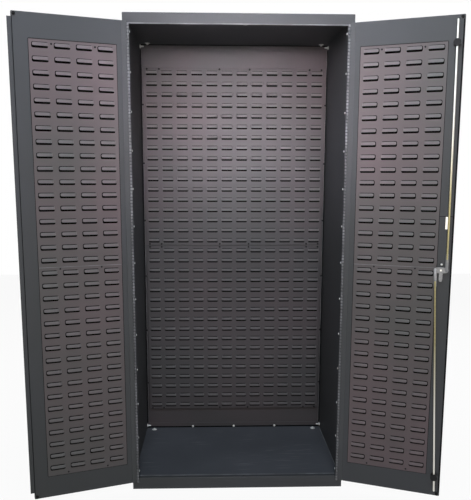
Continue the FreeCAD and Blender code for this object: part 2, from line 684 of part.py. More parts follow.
def stiffener_clip():
    """Small plated clip on the stile beside the upper rod."""
    body = new_body("stiffener_clip", "right")
    across = PAN_FAR + "-clip_inset"
    level = LOCK_Z + "+clip_rise"
    plate = box_loop(side_x("right", across + "-clip_width/2"), level + "-clip_height/2",
                     side_x("right", across + "+clip_width/2"), level + "+clip_height/2")
    pad(body, draw(body, "XZ_Plane", [plate], offset="-" + INNER + "-sheet"), "sheet")


for wall in ("left", "right"):
    side_panel(wall)
back_panel()
top_panel()
bottom_panel()
floor_channel()
back_louver_panel("lower_back_louver_panel", "back_panel_foot")
back_louver_panel("upper_back_louver_panel", "(back_panel_foot+panel_gap+%s)" % BACK_TALL)
for wall in ("left", "right"):
    frame_leaf(wall)
    hinge_pin(wall)
    door_pan(wall)
    for level in ("lower", "upper"):
        door_louver_panel(wall, level)
    door_leaf(wall)
    bumpers(wall)
meeting_strip()
spindle()
handle()
key_plug()
cam_plate()
cam_screw()
rod("upper_lock_rod", True)
rod("lower_lock_rod", False)
rod_guide("upper_rod_guide", True)
rod_guide("lower_rod_guide", False)
stiffener_clip()

doc.recompute()
for item in doc.Objects:
    if "Invalid" in item.State or "Error" in item.State:
        raise RuntimeError("%s failed: %s" % (item.Label, item.State))
for node in nodes:
    if node.Shape.isNull() or not node.Shape.isValid():
        raise RuntimeError("bad shape: " + node.Label)
os.makedirs("parts", exist_ok=True)
for node in nodes:
    node.Shape.exportStep("parts/%s.step" % node.Label)
print("wrote %d nodes" % len(nodes))
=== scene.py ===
# %% [markdown]
# A bin cabinet is a tall box of folded sheet steel. Small plastic bins hook onto rows of pressed louvres
# on its back wall and inside its doors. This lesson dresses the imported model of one: the solids give
# every place and size, and the surfaces made here add what a press brake, a powder-coating line and a
# handful of zinc screws leave behind.

# %% Load the frame
import json
import math

import bmesh
import bpy
import numpy as np
from mathutils import Matrix, Vector


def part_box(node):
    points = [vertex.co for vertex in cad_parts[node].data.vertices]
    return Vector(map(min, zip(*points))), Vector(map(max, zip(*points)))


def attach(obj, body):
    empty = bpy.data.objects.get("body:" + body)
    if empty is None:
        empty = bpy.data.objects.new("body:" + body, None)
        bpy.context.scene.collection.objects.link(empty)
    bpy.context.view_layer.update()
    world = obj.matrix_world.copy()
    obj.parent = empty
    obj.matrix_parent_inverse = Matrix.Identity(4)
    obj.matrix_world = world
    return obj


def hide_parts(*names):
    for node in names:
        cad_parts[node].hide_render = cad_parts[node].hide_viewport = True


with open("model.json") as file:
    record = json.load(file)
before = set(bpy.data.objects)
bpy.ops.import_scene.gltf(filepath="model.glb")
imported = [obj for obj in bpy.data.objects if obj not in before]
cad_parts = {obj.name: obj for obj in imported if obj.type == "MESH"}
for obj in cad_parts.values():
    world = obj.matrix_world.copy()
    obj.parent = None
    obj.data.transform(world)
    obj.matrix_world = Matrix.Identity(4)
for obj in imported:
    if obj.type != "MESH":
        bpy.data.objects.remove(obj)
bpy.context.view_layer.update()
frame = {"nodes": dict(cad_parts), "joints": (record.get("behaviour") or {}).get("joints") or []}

# %% [markdown]
# The main places come from the frame. The shell's corners are read from the boxes of its sheets, and each
# door's hinge line and opening angle from its joint: a door that is shut lies along X, so the joint's
# upper limit is the angle that the door stands open. Small sizes, such as a lip or a bend, are named where
# they are first needed. A piece of a door is worked out as on a shut door, where everything is straight,
# and one function turns it into place.

# %% Places read from the frame
SIDES = ("left", "right")
(left_x, front_y, _), (_, back_y, _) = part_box("left_side_panel")
right_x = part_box("right_side_panel")[1][0]
top_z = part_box("top_panel")[1][2]
sheet = 0.0015
joints = {joint["name"]: joint for joint in frame["joints"]}
doors = {}
for side, sign in zip(SIDES, (1, -1)):
    swing = joints[side + "_door_swing"]
    doors[side] = {"x": swing["pos_m"][0], "y": swing["pos_m"][1], "sign": sign,
                   "turn": -sign * math.radians(swing["range_deg"][1])}
print("shell", round(right_x - left_x, 4), "x", round(back_y - front_y, 4), "x", round(top_z, 4), "m")


def on_door(side, across, inward, up):
    """Points of an open door: across runs from the hinge line to the free edge, inward points into the
    cabinet when the door is shut, up is height. The shut place is turned about the hinge line by the
    door's opening angle."""
    door = doors[side]
    across, inward, up = np.broadcast_arrays(across, inward, up)
    x = door["sign"] * across
    cos, sin = math.cos(door["turn"]), math.sin(door["turn"])
    return np.stack([door["x"] + x * cos - inward * sin, door["y"] + x * sin + inward * cos, up], axis=-1)


# %% [markdown]
# All the new pieces are grids of points. A grid becomes a mesh when each small square of four neighbours
# becomes a face, so one helper numbers those squares for any grid, open or closed on itself. The same
# shapes could be cut and extruded by hand, but a grid is a formula: it stays light, and a size in it is
# easy to change.

# %% Grids of points
def grid_faces(rows, columns, closed=False):
    """Corner numbers of the squares of a grid stored row by row; when closed, each row's end joins its
    start."""
    row = np.arange(rows - 1)[:, None]
    column = np.arange(columns if closed else columns - 1)[None, :]
    beside = (column + 1) % columns
    corners = [row * columns + column, row * columns + beside,
               (row + 1) * columns + beside, (row + 1) * columns + column]
    return np.stack(corners, axis=-1).reshape(-1, 4)


def patch(points, closed=False, flip=False, cap_first=False, cap_last=False):
    """One grid of points as (points, squares, caps); a cap fills the first or last row of a closed
    tube."""
    rows, columns = points.shape[:2]
    faces = grid_faces(rows, columns, closed)
    first = np.arange(columns)
    last = first + (rows - 1) * columns
    caps = [first[::-1]] * cap_first + [last] * cap_last
    if flip:
        faces, caps = faces[:, ::-1], [cap[::-1] for cap in caps]
    return points.reshape(-1, 3), faces, caps


def copies(points, closed=False, flip=False):
    """Many equal grids at once: points has one grid for each copy in its first direction."""
    count, rows, columns = points.shape[:3]
    starts = np.arange(count)[:, None, None] * rows * columns
    faces = (grid_faces(rows, columns, closed) + starts).reshape(-1, 4)
    return points.reshape(-1, 3), faces[:, ::-1] if flip else faces, []


print("a grid of 3 by 4 points has", len(grid_faces(3, 4)), "squares, closed", len(grid_faces(3, 4, True)))

# %% [markdown]
# A piece is one mesh object made of a few grids. It needs a finish and a body to ride on, and it may
# stand for a solid of the imported model. Thin sheets are drawn as one face, and the Solidify modifier
# gives them their thickness, which keeps the formulas short.

# %% From grids to a piece
SAME_PLACE, SHARP_TURN = 1e-6, math.radians(40.0)


def close_seams(mesh):
    """Points that lie in the same place become one, which closes the pole of a dome and joins cells of a
    sheet."""
    loose = bmesh.new()
    loose.from_mesh(mesh)
    bmesh.ops.remove_doubles(loose, verts=loose.verts, dist=SAME_PLACE)
    loose.to_mesh(mesh)
    loose.free()


def piece(name, patches, finish, body, stands_for=(), thick=0.0):
    """Joins patches into one mesh object. An open sheet gets its thickness behind the face, and edges
    that turn by more than the sharp turn stay sharp."""
    starts = np.cumsum([0] + [len(points) for points, _, _ in patches])
    points = np.concatenate([points for points, _, _ in patches])
    faces = []
    for start, (_, squares, caps) in zip(starts, patches):
        faces += (squares + start).tolist() + [(cap + start).tolist() for cap in caps]
    mesh = bpy.data.meshes.new(name)
    mesh.from_pydata(points.tolist(), [], faces)
    close_seams(mesh)
    mesh.materials.append(finish)
    thing = bpy.data.objects.new(name, mesh)
    bpy.context.scene.collection.objects.link(thing)
    if thick:
        wall = thing.modifiers.new("sheet", "SOLIDIFY")
        wall.thickness = thick
        wall.offset = -1
        mesh = bpy.data.meshes.new_from_object(thing.evaluated_get(bpy.context.evaluated_depsgraph_get()))
        thing.modifiers.clear()
        thing.data = mesh
    mesh.shade_smooth()
    mesh.set_sharp_from_angle(angle=SHARP_TURN)
    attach(thing, body)
    if stands_for:
        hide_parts(*stands_for)
    print(name, "-", len(mesh.polygons), "faces")


# %% [markdown]
# The paint is a charcoal powder coat. Baked powder has a fine orange-peel skin, and sheets coated on
# different days differ a little in tone. A picture of paint would repeat and blur close up, so noise
# makes the skin's height and a slow drift of tone, in one shared group, and each finish mixes its own two
# colours with them. The louvred sheets come out a touch warmer than the shell.

# %% Powder-coat group
SKIN_DETAIL, DRIFT_DETAIL, TONE_SPAN, GLOSS_SPAN = 2.0, 3.0, (0.35, 0.65), (0.46, 0.58)


def new_group(name, inputs, outputs):
    """Empty shader group with its two end nodes; inputs are (label, lowest, highest), outputs are
    labels."""
    group = bpy.data.node_groups.new(name, "ShaderNodeTree")
    for label, lowest, highest in inputs:
        socket = group.interface.new_socket(name=label, in_out="INPUT", socket_type="NodeSocketFloat")
        socket.min_value, socket.max_value = lowest, highest
    for label in outputs:
        group.interface.new_socket(name=label, in_out="OUTPUT", socket_type="NodeSocketFloat")
    return group, group.nodes.new("NodeGroupInput"), group.nodes.new("NodeGroupOutput")


def powder_group():
    """Fine skin height from small noise, a slow tone mask and a roughness that drifts with the tone."""
    scales = (("Skin Scale", 50, 2000), ("Drift Scale", 0.1, 50))
    group, given, result = new_group("powder_skin", scales, ("Skin", "Tone", "Roughness"))
    nodes, links = group.nodes, group.links
    place = nodes.new("ShaderNodeTexCoord")
    skin, drift = nodes.new("ShaderNodeTexNoise"), nodes.new("ShaderNodeTexNoise")
    skin.inputs["Detail"].default_value = SKIN_DETAIL
    drift.inputs["Detail"].default_value = DRIFT_DETAIL
    spread, gloss = nodes.new("ShaderNodeMapRange"), nodes.new("ShaderNodeMapRange")
    spread.inputs["From Min"].default_value, spread.inputs["From Max"].default_value = TONE_SPAN
    gloss.inputs["To Min"].default_value, gloss.inputs["To Max"].default_value = GLOSS_SPAN
    for noise, scale in ((skin, "Skin Scale"), (drift, "Drift Scale")):
        links.new(place.outputs["Object"], noise.inputs["Vector"])
        links.new(given.outputs[scale], noise.inputs["Scale"])
    links.new(drift.outputs["Fac"], spread.inputs["Value"])
    links.new(drift.outputs["Fac"], gloss.inputs["Value"])
    links.new(skin.outputs["Fac"], result.inputs["Skin"])
    links.new(spread.outputs["Result"], result.inputs["Tone"])
    links.new(gloss.outputs["Result"], result.inputs["Roughness"])
    return group


POWDER = powder_group()
print("group", POWDER.name, "made")

# %% Painted finishes
SKIN_SCALE, SKIN_LIFT, SKIN_STRENGTH = 700, 0.0004, 0.12


def new_finish(name, shine):
    """Material with its shader, whose mirror-like share is the shine, and its nodes and links."""
    material = bpy.data.materials.new(name)
    material.use_nodes = True
    nodes, links = material.node_tree.nodes, material.node_tree.links
    shader = nodes["Principled BSDF"]
    shader.inputs["Specular IOR Level"].default_value = shine
    return material, shader, nodes, links


def mix_of(nodes, first, second):
    """Node that goes from the first colour to the second as its factor goes from nought to one."""
    mix = nodes.new("ShaderNodeMix")
    mix.data_type = "RGBA"
    mix.inputs["A"].default_value = (*first, 1)
    mix.inputs["B"].default_value = (*second, 1)
    return mix


def painted(name, dark, light, drift_scale, shine=0.25):
    """Powder coat between two tones: the group's tone mixes them and its skin lifts the surface by a
    hair."""
    material, shader, nodes, links = new_finish(name, shine)
    powder = nodes.new("ShaderNodeGroup")
    powder.node_tree = POWDER
    powder.inputs["Skin Scale"].default_value = SKIN_SCALE
    powder.inputs["Drift Scale"].default_value = drift_scale
    tone, bump = mix_of(nodes, dark, light), nodes.new("ShaderNodeBump")
    bump.inputs["Strength"].default_value = SKIN_STRENGTH
    bump.inputs["Distance"].default_value = SKIN_LIFT
    links.new(powder.outputs["Tone"], tone.inputs["Factor"])
    links.new(tone.outputs["Result"], shader.inputs["Base Color"])
    links.new(powder.outputs["Roughness"], shader.inputs["Roughness"])
    links.new(powder.outputs["Skin"], bump.inputs["Height"])
    links.new(bump.outputs["Normal"], shader.inputs["Normal"])
    return material


SHELL = painted("charcoal_shell_paint", (0.0600, 0.0625, 0.0635), (0.0690, 0.0715, 0.0770), 1.7)
# The hinge leaves take a lighter copy of the shell paint: painted light for the bright strip along each
# hinge.
HINGE_LIT = painted("charcoal_hinge_paint", (0.0720, 0.0745, 0.0750), (0.0830, 0.0855, 0.0900), 1.7)
LOUVER = painted("charcoal_louver_paint", (0.114, 0.107, 0.104), (0.160, 0.124, 0.130), 1.6)
# The bridges' faces take a lighter copy of the louvre paint: a painted highlight where they face the light.
LOUVER_HIGHLIGHT = painted("rubbed_louver_paint", (0.148, 0.145, 0.142), (0.200, 0.163, 0.169), 1.6)
# The back wall's paint is a darker copy of the louvre paint, painted shade for the inside of the cabinet; its
# bridges' faces take a lighter copy of it, a painted highlight.
BACK_SHADED = painted("charcoal_back_paint", (0.076, 0.076, 0.079), (0.106, 0.087, 0.093), 1.3)
BACK_SHADED_HIGHLIGHT = painted("rubbed_back_paint", (0.116, 0.117, 0.120), (0.155, 0.136, 0.142), 1.3)
FLOOR = painted("charcoal_floor_paint", (0.096, 0.102, 0.114), (0.118, 0.124, 0.138), 2.9)
SHADE = painted("unlit_inside_paint", (0.004, 0.004, 0.004), (0.008, 0.008, 0.008), 2.0, 0.0)
# Paler paint for thin lines along edges and on the hinge knuckles: mostly a painted highlight where they
# catch the light, partly worn paint.
HIGHLIGHT_AND_WEAR = painted("rubbed_edge_paint", (0.15, 0.15, 0.155), (0.28, 0.28, 0.29), 14.0)
PAINTS = (SHELL, HINGE_LIT, LOUVER, LOUVER_HIGHLIGHT, BACK_SHADED, BACK_SHADED_HIGHLIGHT, FLOOR, SHADE, HIGHLIGHT_AND_WEAR)
print("paints:", [paint.name for paint in PAINTS])

# %% [markdown]
# Things slid in and out scuff the floor. Scuffs are thin and lie in patches, so two noises are
# multiplied: one stretched along X into lines, and a coarse one that says where there are any.

# %% Scuffs on the floor
SCUFF_STRETCH, SCUFF_MOST, PATCH_SCALE = (9.0, 130.0, 9.0), 0.45, 5.0
SCUFF_LINES, SCUFF_PATCHES = (0.58, 0.72), (0.48, 0.66)


def blend_over(material, colour, factor):
    """Mixes one more colour over a material's base colour, by a factor."""
    nodes, links = material.node_tree.nodes, material.node_tree.links
    base = nodes["Principled BSDF"].inputs["Base Color"]
    mix = mix_of(nodes, colour, colour)
    links.new(factor, mix.inputs["Factor"])
    links.new(base.links[0].from_socket, mix.inputs["A"])
    links.new(mix.outputs["Result"], base)


def scuffed(material, bare):
    """Thin pale scuffs: noise stretched along X, kept only where it and a coarse noise are both high."""
    nodes, links = material.node_tree.nodes, material.node_tree.links
    place, stretch = nodes.new("ShaderNodeTexCoord"), nodes.new("ShaderNodeMapping")
    stretch.inputs["Scale"].default_value = SCUFF_STRETCH
    links.new(place.outputs["Object"], stretch.inputs["Vector"])
    both = nodes.new("ShaderNodeMath")
    both.operation = "MULTIPLY"
    noises = ((stretch.outputs["Vector"], 1.0, SCUFF_LINES, SCUFF_MOST),
              (place.outputs["Object"], PATCH_SCALE, SCUFF_PATCHES, 1.0))
    for factor, (where, scale, kept, most) in zip(both.inputs, noises):
        noise, limit = nodes.new("ShaderNodeTexNoise"), nodes.new("ShaderNodeMapRange")
        noise.inputs["Scale"].default_value = scale
        limit.inputs["From Min"].default_value, limit.inputs["From Max"].default_value = kept
        limit.inputs["To Max"].default_value = most
        links.new(where, noise.inputs["Vector"])
        links.new(noise.outputs["Fac"], limit.inputs["Value"])
        links.new(limit.outputs["Result"], factor)
    blend_over(material, bare, both.outputs["Value"])


scuffed(FLOOR, (0.30, 0.30, 0.31))
print(FLOOR.name, "has", len(FLOOR.node_tree.nodes), "nodes")

# %% [markdown]
# The hardware is plated or moulded. Zinc plate is a bright grey metal with a slightly patchy gloss,
# yellow zinc is the same with a gold film, and the bumpers and rod guides are plain black rubber and
# plastic. One flat colour would look like a drawing, so a second group gives all of them patches of tone
# and gloss. The rods are painted paler towards their ends, a painted reflection on their plating.

# %% Plating group
PLATE_DETAIL = 4.0


def plating_group():
    """Patchy tone from noise, and a roughness that follows it between two given values."""
    inputs = (("Scale", 1, 1000), ("Smooth", 0, 1), ("Rough", 0, 1))
    group, given, result = new_group("patchy_plating", inputs, ("Tone", "Roughness"))
    nodes, links = group.nodes, group.links
    place, noise = nodes.new("ShaderNodeTexCoord"), nodes.new("ShaderNodeTexNoise")
    noise.inputs["Detail"].default_value = PLATE_DETAIL
    gloss = nodes.new("ShaderNodeMapRange")
    links.new(place.outputs["Object"], noise.inputs["Vector"])
    links.new(given.outputs["Scale"], noise.inputs["Scale"])
    links.new(given.outputs["Smooth"], gloss.inputs["To Min"])
    links.new(given.outputs["Rough"], gloss.inputs["To Max"])
    links.new(noise.outputs["Fac"], gloss.inputs["Value"])
    links.new(noise.outputs["Fac"], result.inputs["Tone"])
    links.new(gloss.outputs["Result"], result.inputs["Roughness"])
    return group


PLATING = plating_group()
print("group", PLATING.name, "made")

# %% Hardware finishes
LOCK_Z = 0.986
SHEEN_SPAN, SHEEN_MOST, SHEEN_ZINC = (0.28, 0.60), 0.85, (0.74, 0.73, 0.69)


def hardware(name, dark, light, metal, gloss, scale, shine=0.5):
    """Plated metal, rubber or moulded plastic: the group's patches mix two tones and set the
    roughness."""
    material, shader, nodes, links = new_finish(name, shine)
    shader.inputs["Metallic"].default_value = metal
    patches = nodes.new("ShaderNodeGroup")
    patches.node_tree = PLATING
    patches.inputs["Scale"].default_value = scale
    patches.inputs["Smooth"].default_value, patches.inputs["Rough"].default_value = gloss
    tone = mix_of(nodes, dark, light)
    links.new(patches.outputs["Tone"], tone.inputs["Factor"])
    links.new(tone.outputs["Result"], shader.inputs["Base Color"])
    links.new(patches.outputs["Roughness"], shader.inputs["Roughness"])
    return material


def sheen_towards_ends(material, middle, pale):
    """Painted reflection: plating mixed towards a pale colour towards both ends of an upright piece, by the
    height's distance from its middle."""
    nodes, links = material.node_tree.nodes, material.node_tree.links
    place, split = nodes.new("ShaderNodeTexCoord"), nodes.new("ShaderNodeSeparateXYZ")
    past, away = nodes.new("ShaderNodeMath"), nodes.new("ShaderNodeMath")
    past.operation, away.operation = "SUBTRACT", "ABSOLUTE"
    past.inputs[1].default_value = middle
    fade = nodes.new("ShaderNodeMapRange")
    fade.inputs["From Min"].default_value, fade.inputs["From Max"].default_value = SHEEN_SPAN
    fade.inputs["To Max"].default_value = SHEEN_MOST
    links.new(place.outputs["Object"], split.inputs["Vector"])
    links.new(split.outputs["Z"], past.inputs[0])
    links.new(past.outputs["Value"], away.inputs[0])
    links.new(away.outputs["Value"], fade.inputs["Value"])
    blend_over(material, pale, fade.outputs["Result"])


ZINC = hardware("bright_zinc", (0.55, 0.55, 0.54), (0.82, 0.82, 0.80), 1.0, (0.22, 0.42), 160)
# Screw heads are near-white and hardly metallic: partly the zinc's own pale colour, partly a painted glint.
SCREW_AND_GLINT = hardware("screw_zinc", (0.80, 0.80, 0.78), (0.95, 0.95, 0.93), 0.15, (0.30, 0.45), 300)
DULL_ZINC = hardware("dull_zinc", (0.13, 0.135, 0.14), (0.27, 0.275, 0.28), 0.9, (0.35, 0.55), 140)
GOLD = hardware("yellow_zinc", (0.20, 0.175, 0.075), (0.44, 0.39, 0.22), 0.95, (0.28, 0.45), 90)
sheen_towards_ends(GOLD, LOCK_Z, SHEEN_ZINC)
RUBBER = hardware("black_rubber", (0.006, 0.006, 0.006), (0.014, 0.014, 0.014), 0.0, (0.6, 0.8), 220, 0.15)
PLASTIC = hardware("black_plastic", (0.007, 0.007, 0.008), (0.016, 0.016, 0.017), 0.0, (0.45, 0.6), 200, 0.2)
CHROME = hardware("polished_chrome", (0.72, 0.73, 0.74), (0.86, 0.86, 0.87), 1.0, (0.06, 0.14), 60)
BLACK_SCREW = hardware("painted_screw", (0.008, 0.008, 0.009), (0.020, 0.020, 0.022), 0.0, (0.4, 0.55), 300,
                       0.15)
print("hardware finishes made")

# %% [markdown]
# Folded sheet never has knife edges: the press brake leaves a small radius at each bend. A box with
# bevelled edges would show that too, but not the lips and flanges that stiffen the sheet. A fold is
# therefore drawn as a profile whose corners are rounded, carried straight along the sheet, and given its
# thickness afterwards. That is how the sides, the top and the bottom of the shell are made here.

# %% Side walls
BEND, JAMB, JAMB_FOLD, SIDE_FLANGE = 0.003, 0.026, 0.020, 0.020
BEND_STEPS, FLAT_START = np.linspace(0, 1, 5), 1.4
base_high, head_low = 0.052, top_z - 0.044


def folded(corners, bend=BEND):
    """Profile through the corners in which each inner corner is a short curve: a parabola that leaves one
    run a bend's length before the corner and joins the next run as far after it. A further point on each
    side keeps the flat runs flat when the surface is shaded smoothly."""
    corners = np.asarray(corners, float)
    runs = np.diff(corners, axis=0)
    ways = runs / np.linalg.norm(runs, axis=1, keepdims=True)
    middle, before, after = corners[1:-1, None], -ways[:-1, None] * bend, ways[1:, None] * bend
    t = BEND_STEPS[None, :, None]
    curves = middle + before * (1 - t) ** 2 + after * t ** 2
    curves = np.concatenate([middle + FLAT_START * before, curves, middle + FLAT_START * after], axis=1)
    return np.concatenate([corners[:1], curves.reshape(-1, 2), corners[-1:]])


def side_wall(side):
    """Back flange, wall, jamb and the jamb's inner fold as one profile carried upwards. The jamb and its
    fold stop at the header and at the base, so their squares are left out there."""
    inwards = doors[side]["sign"]
    outer = left_x if side == "left" else right_x
    jamb_x = outer + inwards * JAMB
    profile = folded([(outer + inwards * SIDE_FLANGE, back_y), (outer, back_y), (outer, front_y),
                      (jamb_x, front_y), (jamb_x, front_y + JAMB_FOLD)])
    levels = (0.0, base_high, head_low, top_z - sheet)
    rows = [np.column_stack([profile, np.full(len(profile), z)]) for z in levels]
    points, faces, caps = patch(np.stack(rows), flip=side == "right")
    jamb_starts = 2 * (len(BEND_STEPS) + 2) - 1
    band, step = np.divmod(np.arange(len(faces)), len(profile) - 1)
    return points, faces[(band == 1) | (step < jamb_starts)], caps


for side in SIDES:
    piece(side + "_wall", [side_wall(side)], SHELL, "cabinet", [side + "_side_panel"], thick=sheet)

# %% [markdown]
# The top sheet folds down into the header, and the bottom sheet folds from the base front over the sill
# to the floor. A lock rod enters a round hole in each of them. A Boolean would cut that hole and leave
# long thin faces, so the square round the hole is left out of the grid and filled with a frame of rays.

# %% Top with header, bottom with base and floor
TOP_SHORT, ROD_IN = 0.0002, 0.014
lip, floor_high, flange_high = 0.026, 0.038, 0.025
wall_y = back_y - 2 * sheet
ends = (left_x + TOP_SHORT, right_x - TOP_SHORT)
inside = (left_x + sheet, right_x - sheet)
HOLE, HOLE_CELL, HEAD_HOLE_X, SILL_HOLE_X = 0.006, 0.008, 0.0264, 0.0257
HOLE_RAYS = np.linspace(-3, 3, 24)
hole_y = doors["right"]["y"] + ROD_IN


def along_x(profile, *places):
    """A profile of (depth, height) carried along X through the places."""
    return np.stack([np.column_stack([np.full(len(profile), x), profile]) for x in places])


def with_rod_hole(profile, run, hole_x, flip):
    """Folded sheet along X with the round hole that a lock rod enters. One square of a level run is left
    out, and a frame fills it: rays from the hole's middle, each from the square's edge to the circle."""
    x0, x1 = hole_x - HOLE_CELL, hole_x + HOLE_CELL
    (y0, z), (y1, _) = sorted(profile[[run, run + 1]].tolist())
    points, faces, caps = patch(along_x(profile, ends[0], x0, x1, ends[1]), flip=True)
    band, step = np.divmod(np.arange(len(faces)), len(profile) - 1)
    around = (points, faces[(band != 1) | (step != run)], caps)
    corners = np.arctan2(np.array([y0, y0, y1, y1]) - hole_y, np.array([x0, x1, x1, x0]) - hole_x)
    turns = np.sort(np.concatenate([HOLE_RAYS, corners]))
    cos, sin = np.cos(turns), np.sin(turns)
    edge = np.minimum(HOLE_CELL / np.abs(cos), np.where(sin > 0, y1 - hole_y, hole_y - y0) / np.abs(sin))
    rings = [np.column_stack([hole_x + far * cos, hole_y + far * sin, np.full_like(cos, z)])
             for far in (edge, HOLE)]
    return [around, patch(np.stack(rings), closed=True, flip=flip)]


sill_y, flange_y = front_y + lip, wall_y - sheet
head_fold = folded([(sill_y, head_low), (front_y, head_low), (front_y, top_z), (back_y, top_z)])
head_flange = np.array([(flange_y, top_z - flange_high), (flange_y, top_z - sheet)])
base_front = folded([(front_y, 0.0), (front_y, base_high), (sill_y, base_high)])
floor_fold = folded([(sill_y, base_high), (sill_y, floor_high), (flange_y, floor_high),
                     (flange_y, floor_high + flange_high)])
piece("top_and_header", with_rod_hole(head_fold, 0, HEAD_HOLE_X, True), SHELL, "cabinet", ["top_panel"],
      thick=sheet)
piece("top_back_flange", [patch(along_x(head_flange, *inside), flip=True)], BACK_SHADED, "cabinet", thick=sheet)
piece("base_front", with_rod_hole(base_front, len(base_front) - 2, SILL_HOLE_X, False), SHELL, "cabinet",
      thick=sheet)
piece("floor_sheet", [patch(along_x(floor_fold, *inside), flip=True)], FLOOR, "cabinet", ["bottom_panel"],
      thick=sheet)

# %% [markdown]
# Pale lines run along the header's lower edge, the sill and one side of the floor. On the header the line
# is a painted highlight where the lip catches the light; on the sill and the floor it is partly a painted
# highlight and partly worn paint. Thin films just off the sheet carry the paler paint, because each line
# has a sharp border that a mask in the paint would blur. A near-black sheet under the sill's hole is
# painted shade, where no light gets in.

# %% Edge highlights and painted shade under the sill
SHADE_SHEET_Z, SHADE_SHEET_HALF, SHADE_SHEET_PAST = 0.020, 0.030, 0.030
FILM, HEAD_HIGHLIGHT, SILL_SHEEN_AND_WEAR, FLOOR_SHEEN_AND_WEAR, FLOOR_SHEEN_END = 0.0001, (0.0010, 0.0042), 0.0100, 0.0035, 0.006
under_sill = np.array([(front_y + 2 * sheet, SHADE_SHEET_Z), (sill_y + SHADE_SHEET_PAST, SHADE_SHEET_Z)])
under_hole = along_x(under_sill, SILL_HOLE_X - SHADE_SHEET_HALF, SILL_HOLE_X + SHADE_SHEET_HALF)
piece("sill_lining", [patch(under_hole, flip=True)], SHADE, "cabinet")
clear = (left_x + JAMB, right_x - JAMB)
head_highlight = np.array([(front_y - FILM, head_low + up) for up in HEAD_HIGHLIGHT])
sill_sheen_and_wear = np.array([(y, base_high + FILM) for y in (sill_y - SILL_SHEEN_AND_WEAR, sill_y)])
floor_sheen_and_wear = np.array([(y, floor_high + 2 * FILM) for y in (sill_y, wall_y - FLOOR_SHEEN_END)])
light_lines = ((head_highlight, clear), (sill_sheen_and_wear, clear), (floor_sheen_and_wear, (inside[1] - FLOOR_SHEEN_AND_WEAR, inside[1])))
piece("rubbed_edges", [patch(along_x(light_line, *run), flip=True) for light_line, run in light_lines], HIGHLIGHT_AND_WEAR, "cabinet")

# %% [markdown]
# The louvres are what the cabinet is for. A press cuts a slot in the sheet and pushes a bridge out in
# front of it: the bridge joins the sheet at its ends, stands a few millimetres proud, and is open above
# and below; on the doors its far end is cut free as well. A bin's lip hooks behind its top edge. The
# bridge's face is painted a little lighter than the sheet, a painted highlight. Seen from below, the open
# slot under the bridge reads as a thick dark line; seen from above, the bridge hides most of it. Hundreds
# of Boolean cuts would be slow, so one bridge is a small grid, and all the bridges of a sheet are made at
# once by adding that grid to every place in the pattern.

# %% Bridges
ROWS, ROW_STEP, SLOT_TALL, SLOT_CORNER, PROUD, LOUVER_THICK = 17, 0.0508, 0.0220, 0.005, 0.006, 0.0012
ACROSS = np.sin(np.linspace(-np.pi / 2, np.pi / 2, 9))
BRIDGE_UP, BRIDGE_LEAN = np.array([0.0074, 0.0128, 0.0170, 0.0198]), np.array([1.0, 0.97, 0.84, 0.60])
FREE_DROP, FREE_PINCH = 0.2, 0.0030


def bridges(places_x, low_z, wide, free_end=False):
    """Grids of (across, proud, up) for one bridge over each place. Its height off the sheet is the proud
    depth times an end curve, the square root of one minus the sixth power of the distance from the
    middle, times a lean that brings its upper edge closer to the sheet. A free end keeps its height and
    has rounded corners: its edges draw together by a high power of the distance."""
    rise = np.sqrt(np.clip(1 - ACROSS ** 6, 0, 1))
    pinch = np.zeros_like(ACROSS)
    if free_end:
        rise = np.where(ACROSS > 0, 1 - FREE_DROP * ACROSS ** 8, rise)
        pinch = np.where(ACROSS > 0, FREE_PINCH * ACROSS ** 20, 0)
    middle = (BRIDGE_UP[0] + BRIDGE_UP[-1]) / 2
    up = BRIDGE_UP[:, None] - np.sign(BRIDGE_UP - middle)[:, None] * pinch
    spots = np.stack(np.meshgrid(places_x, low_z), axis=-1).reshape(-1, 1, 1, 2)
    return np.broadcast_arrays(spots[..., 0] + ACROSS * wide / 2, PROUD * BRIDGE_LEAN[:, None] * rise,
                               spots[..., 1] + up)


print("a bridge has", (len(BRIDGE_UP) - 1) * (len(ACROSS) - 1), "faces before its thickness")


# %% Slotted sheets
def slotted(edges, places_x, low_z, wide, past=0.0):
    """The sheet inside the edges round the slots, as (across, up): one frame for each louvre, from the
    edge of its cell to the rounded edge of its slot, which may run past the far end of the bridge. Cells
    meet half-way between slots, and the outer ones reach the sheet's edge."""
    edge_x = np.concatenate([edges[:1], (places_x[1:] + places_x[:-1]) / 2, edges[2:3]])
    edge_z = np.concatenate([edges[1:2], (low_z[1:] + low_z[:-1] + SLOT_TALL) / 2, edges[3:]])
    left, bottom = (part.reshape(-1, 1) for part in np.meshgrid(edge_x[:-1], edge_z[:-1]))
    right, top = (part.reshape(-1, 1) for part in np.meshgrid(edge_x[1:], edge_z[1:]))
    middle, low = (part.reshape(-1, 1) for part in np.meshgrid(places_x, low_z))
    near, far, high = middle - wide / 2, middle + wide / 2 + past, low + SLOT_TALL
    bend, cut = SLOT_CORNER, SLOT_CORNER * (1 - math.sqrt(0.5))
    slot_x = [near, near + cut, near + bend, far - bend, far - cut, far,
              far, far - cut, far - bend, near + bend, near + cut, near]
    slot_z = [low + bend, low + cut, low, low, low + cut, low + bend,
              high - bend, high - cut, high, high, high - cut, high - bend]
    cell_x = [left, left, near + bend, far - bend, right, right,
              right, right, far - bend, near + bend, left, left]
    cell_z = [low + bend, bottom, bottom, bottom, bottom, low + bend,
              high - bend, top, top, top, top, high - bend]
    return tuple(np.stack([np.concatenate(cell, axis=1), np.concatenate(slot, axis=1)], axis=1)
                 for cell, slot in ((cell_x, slot_x), (cell_z, slot_z)))


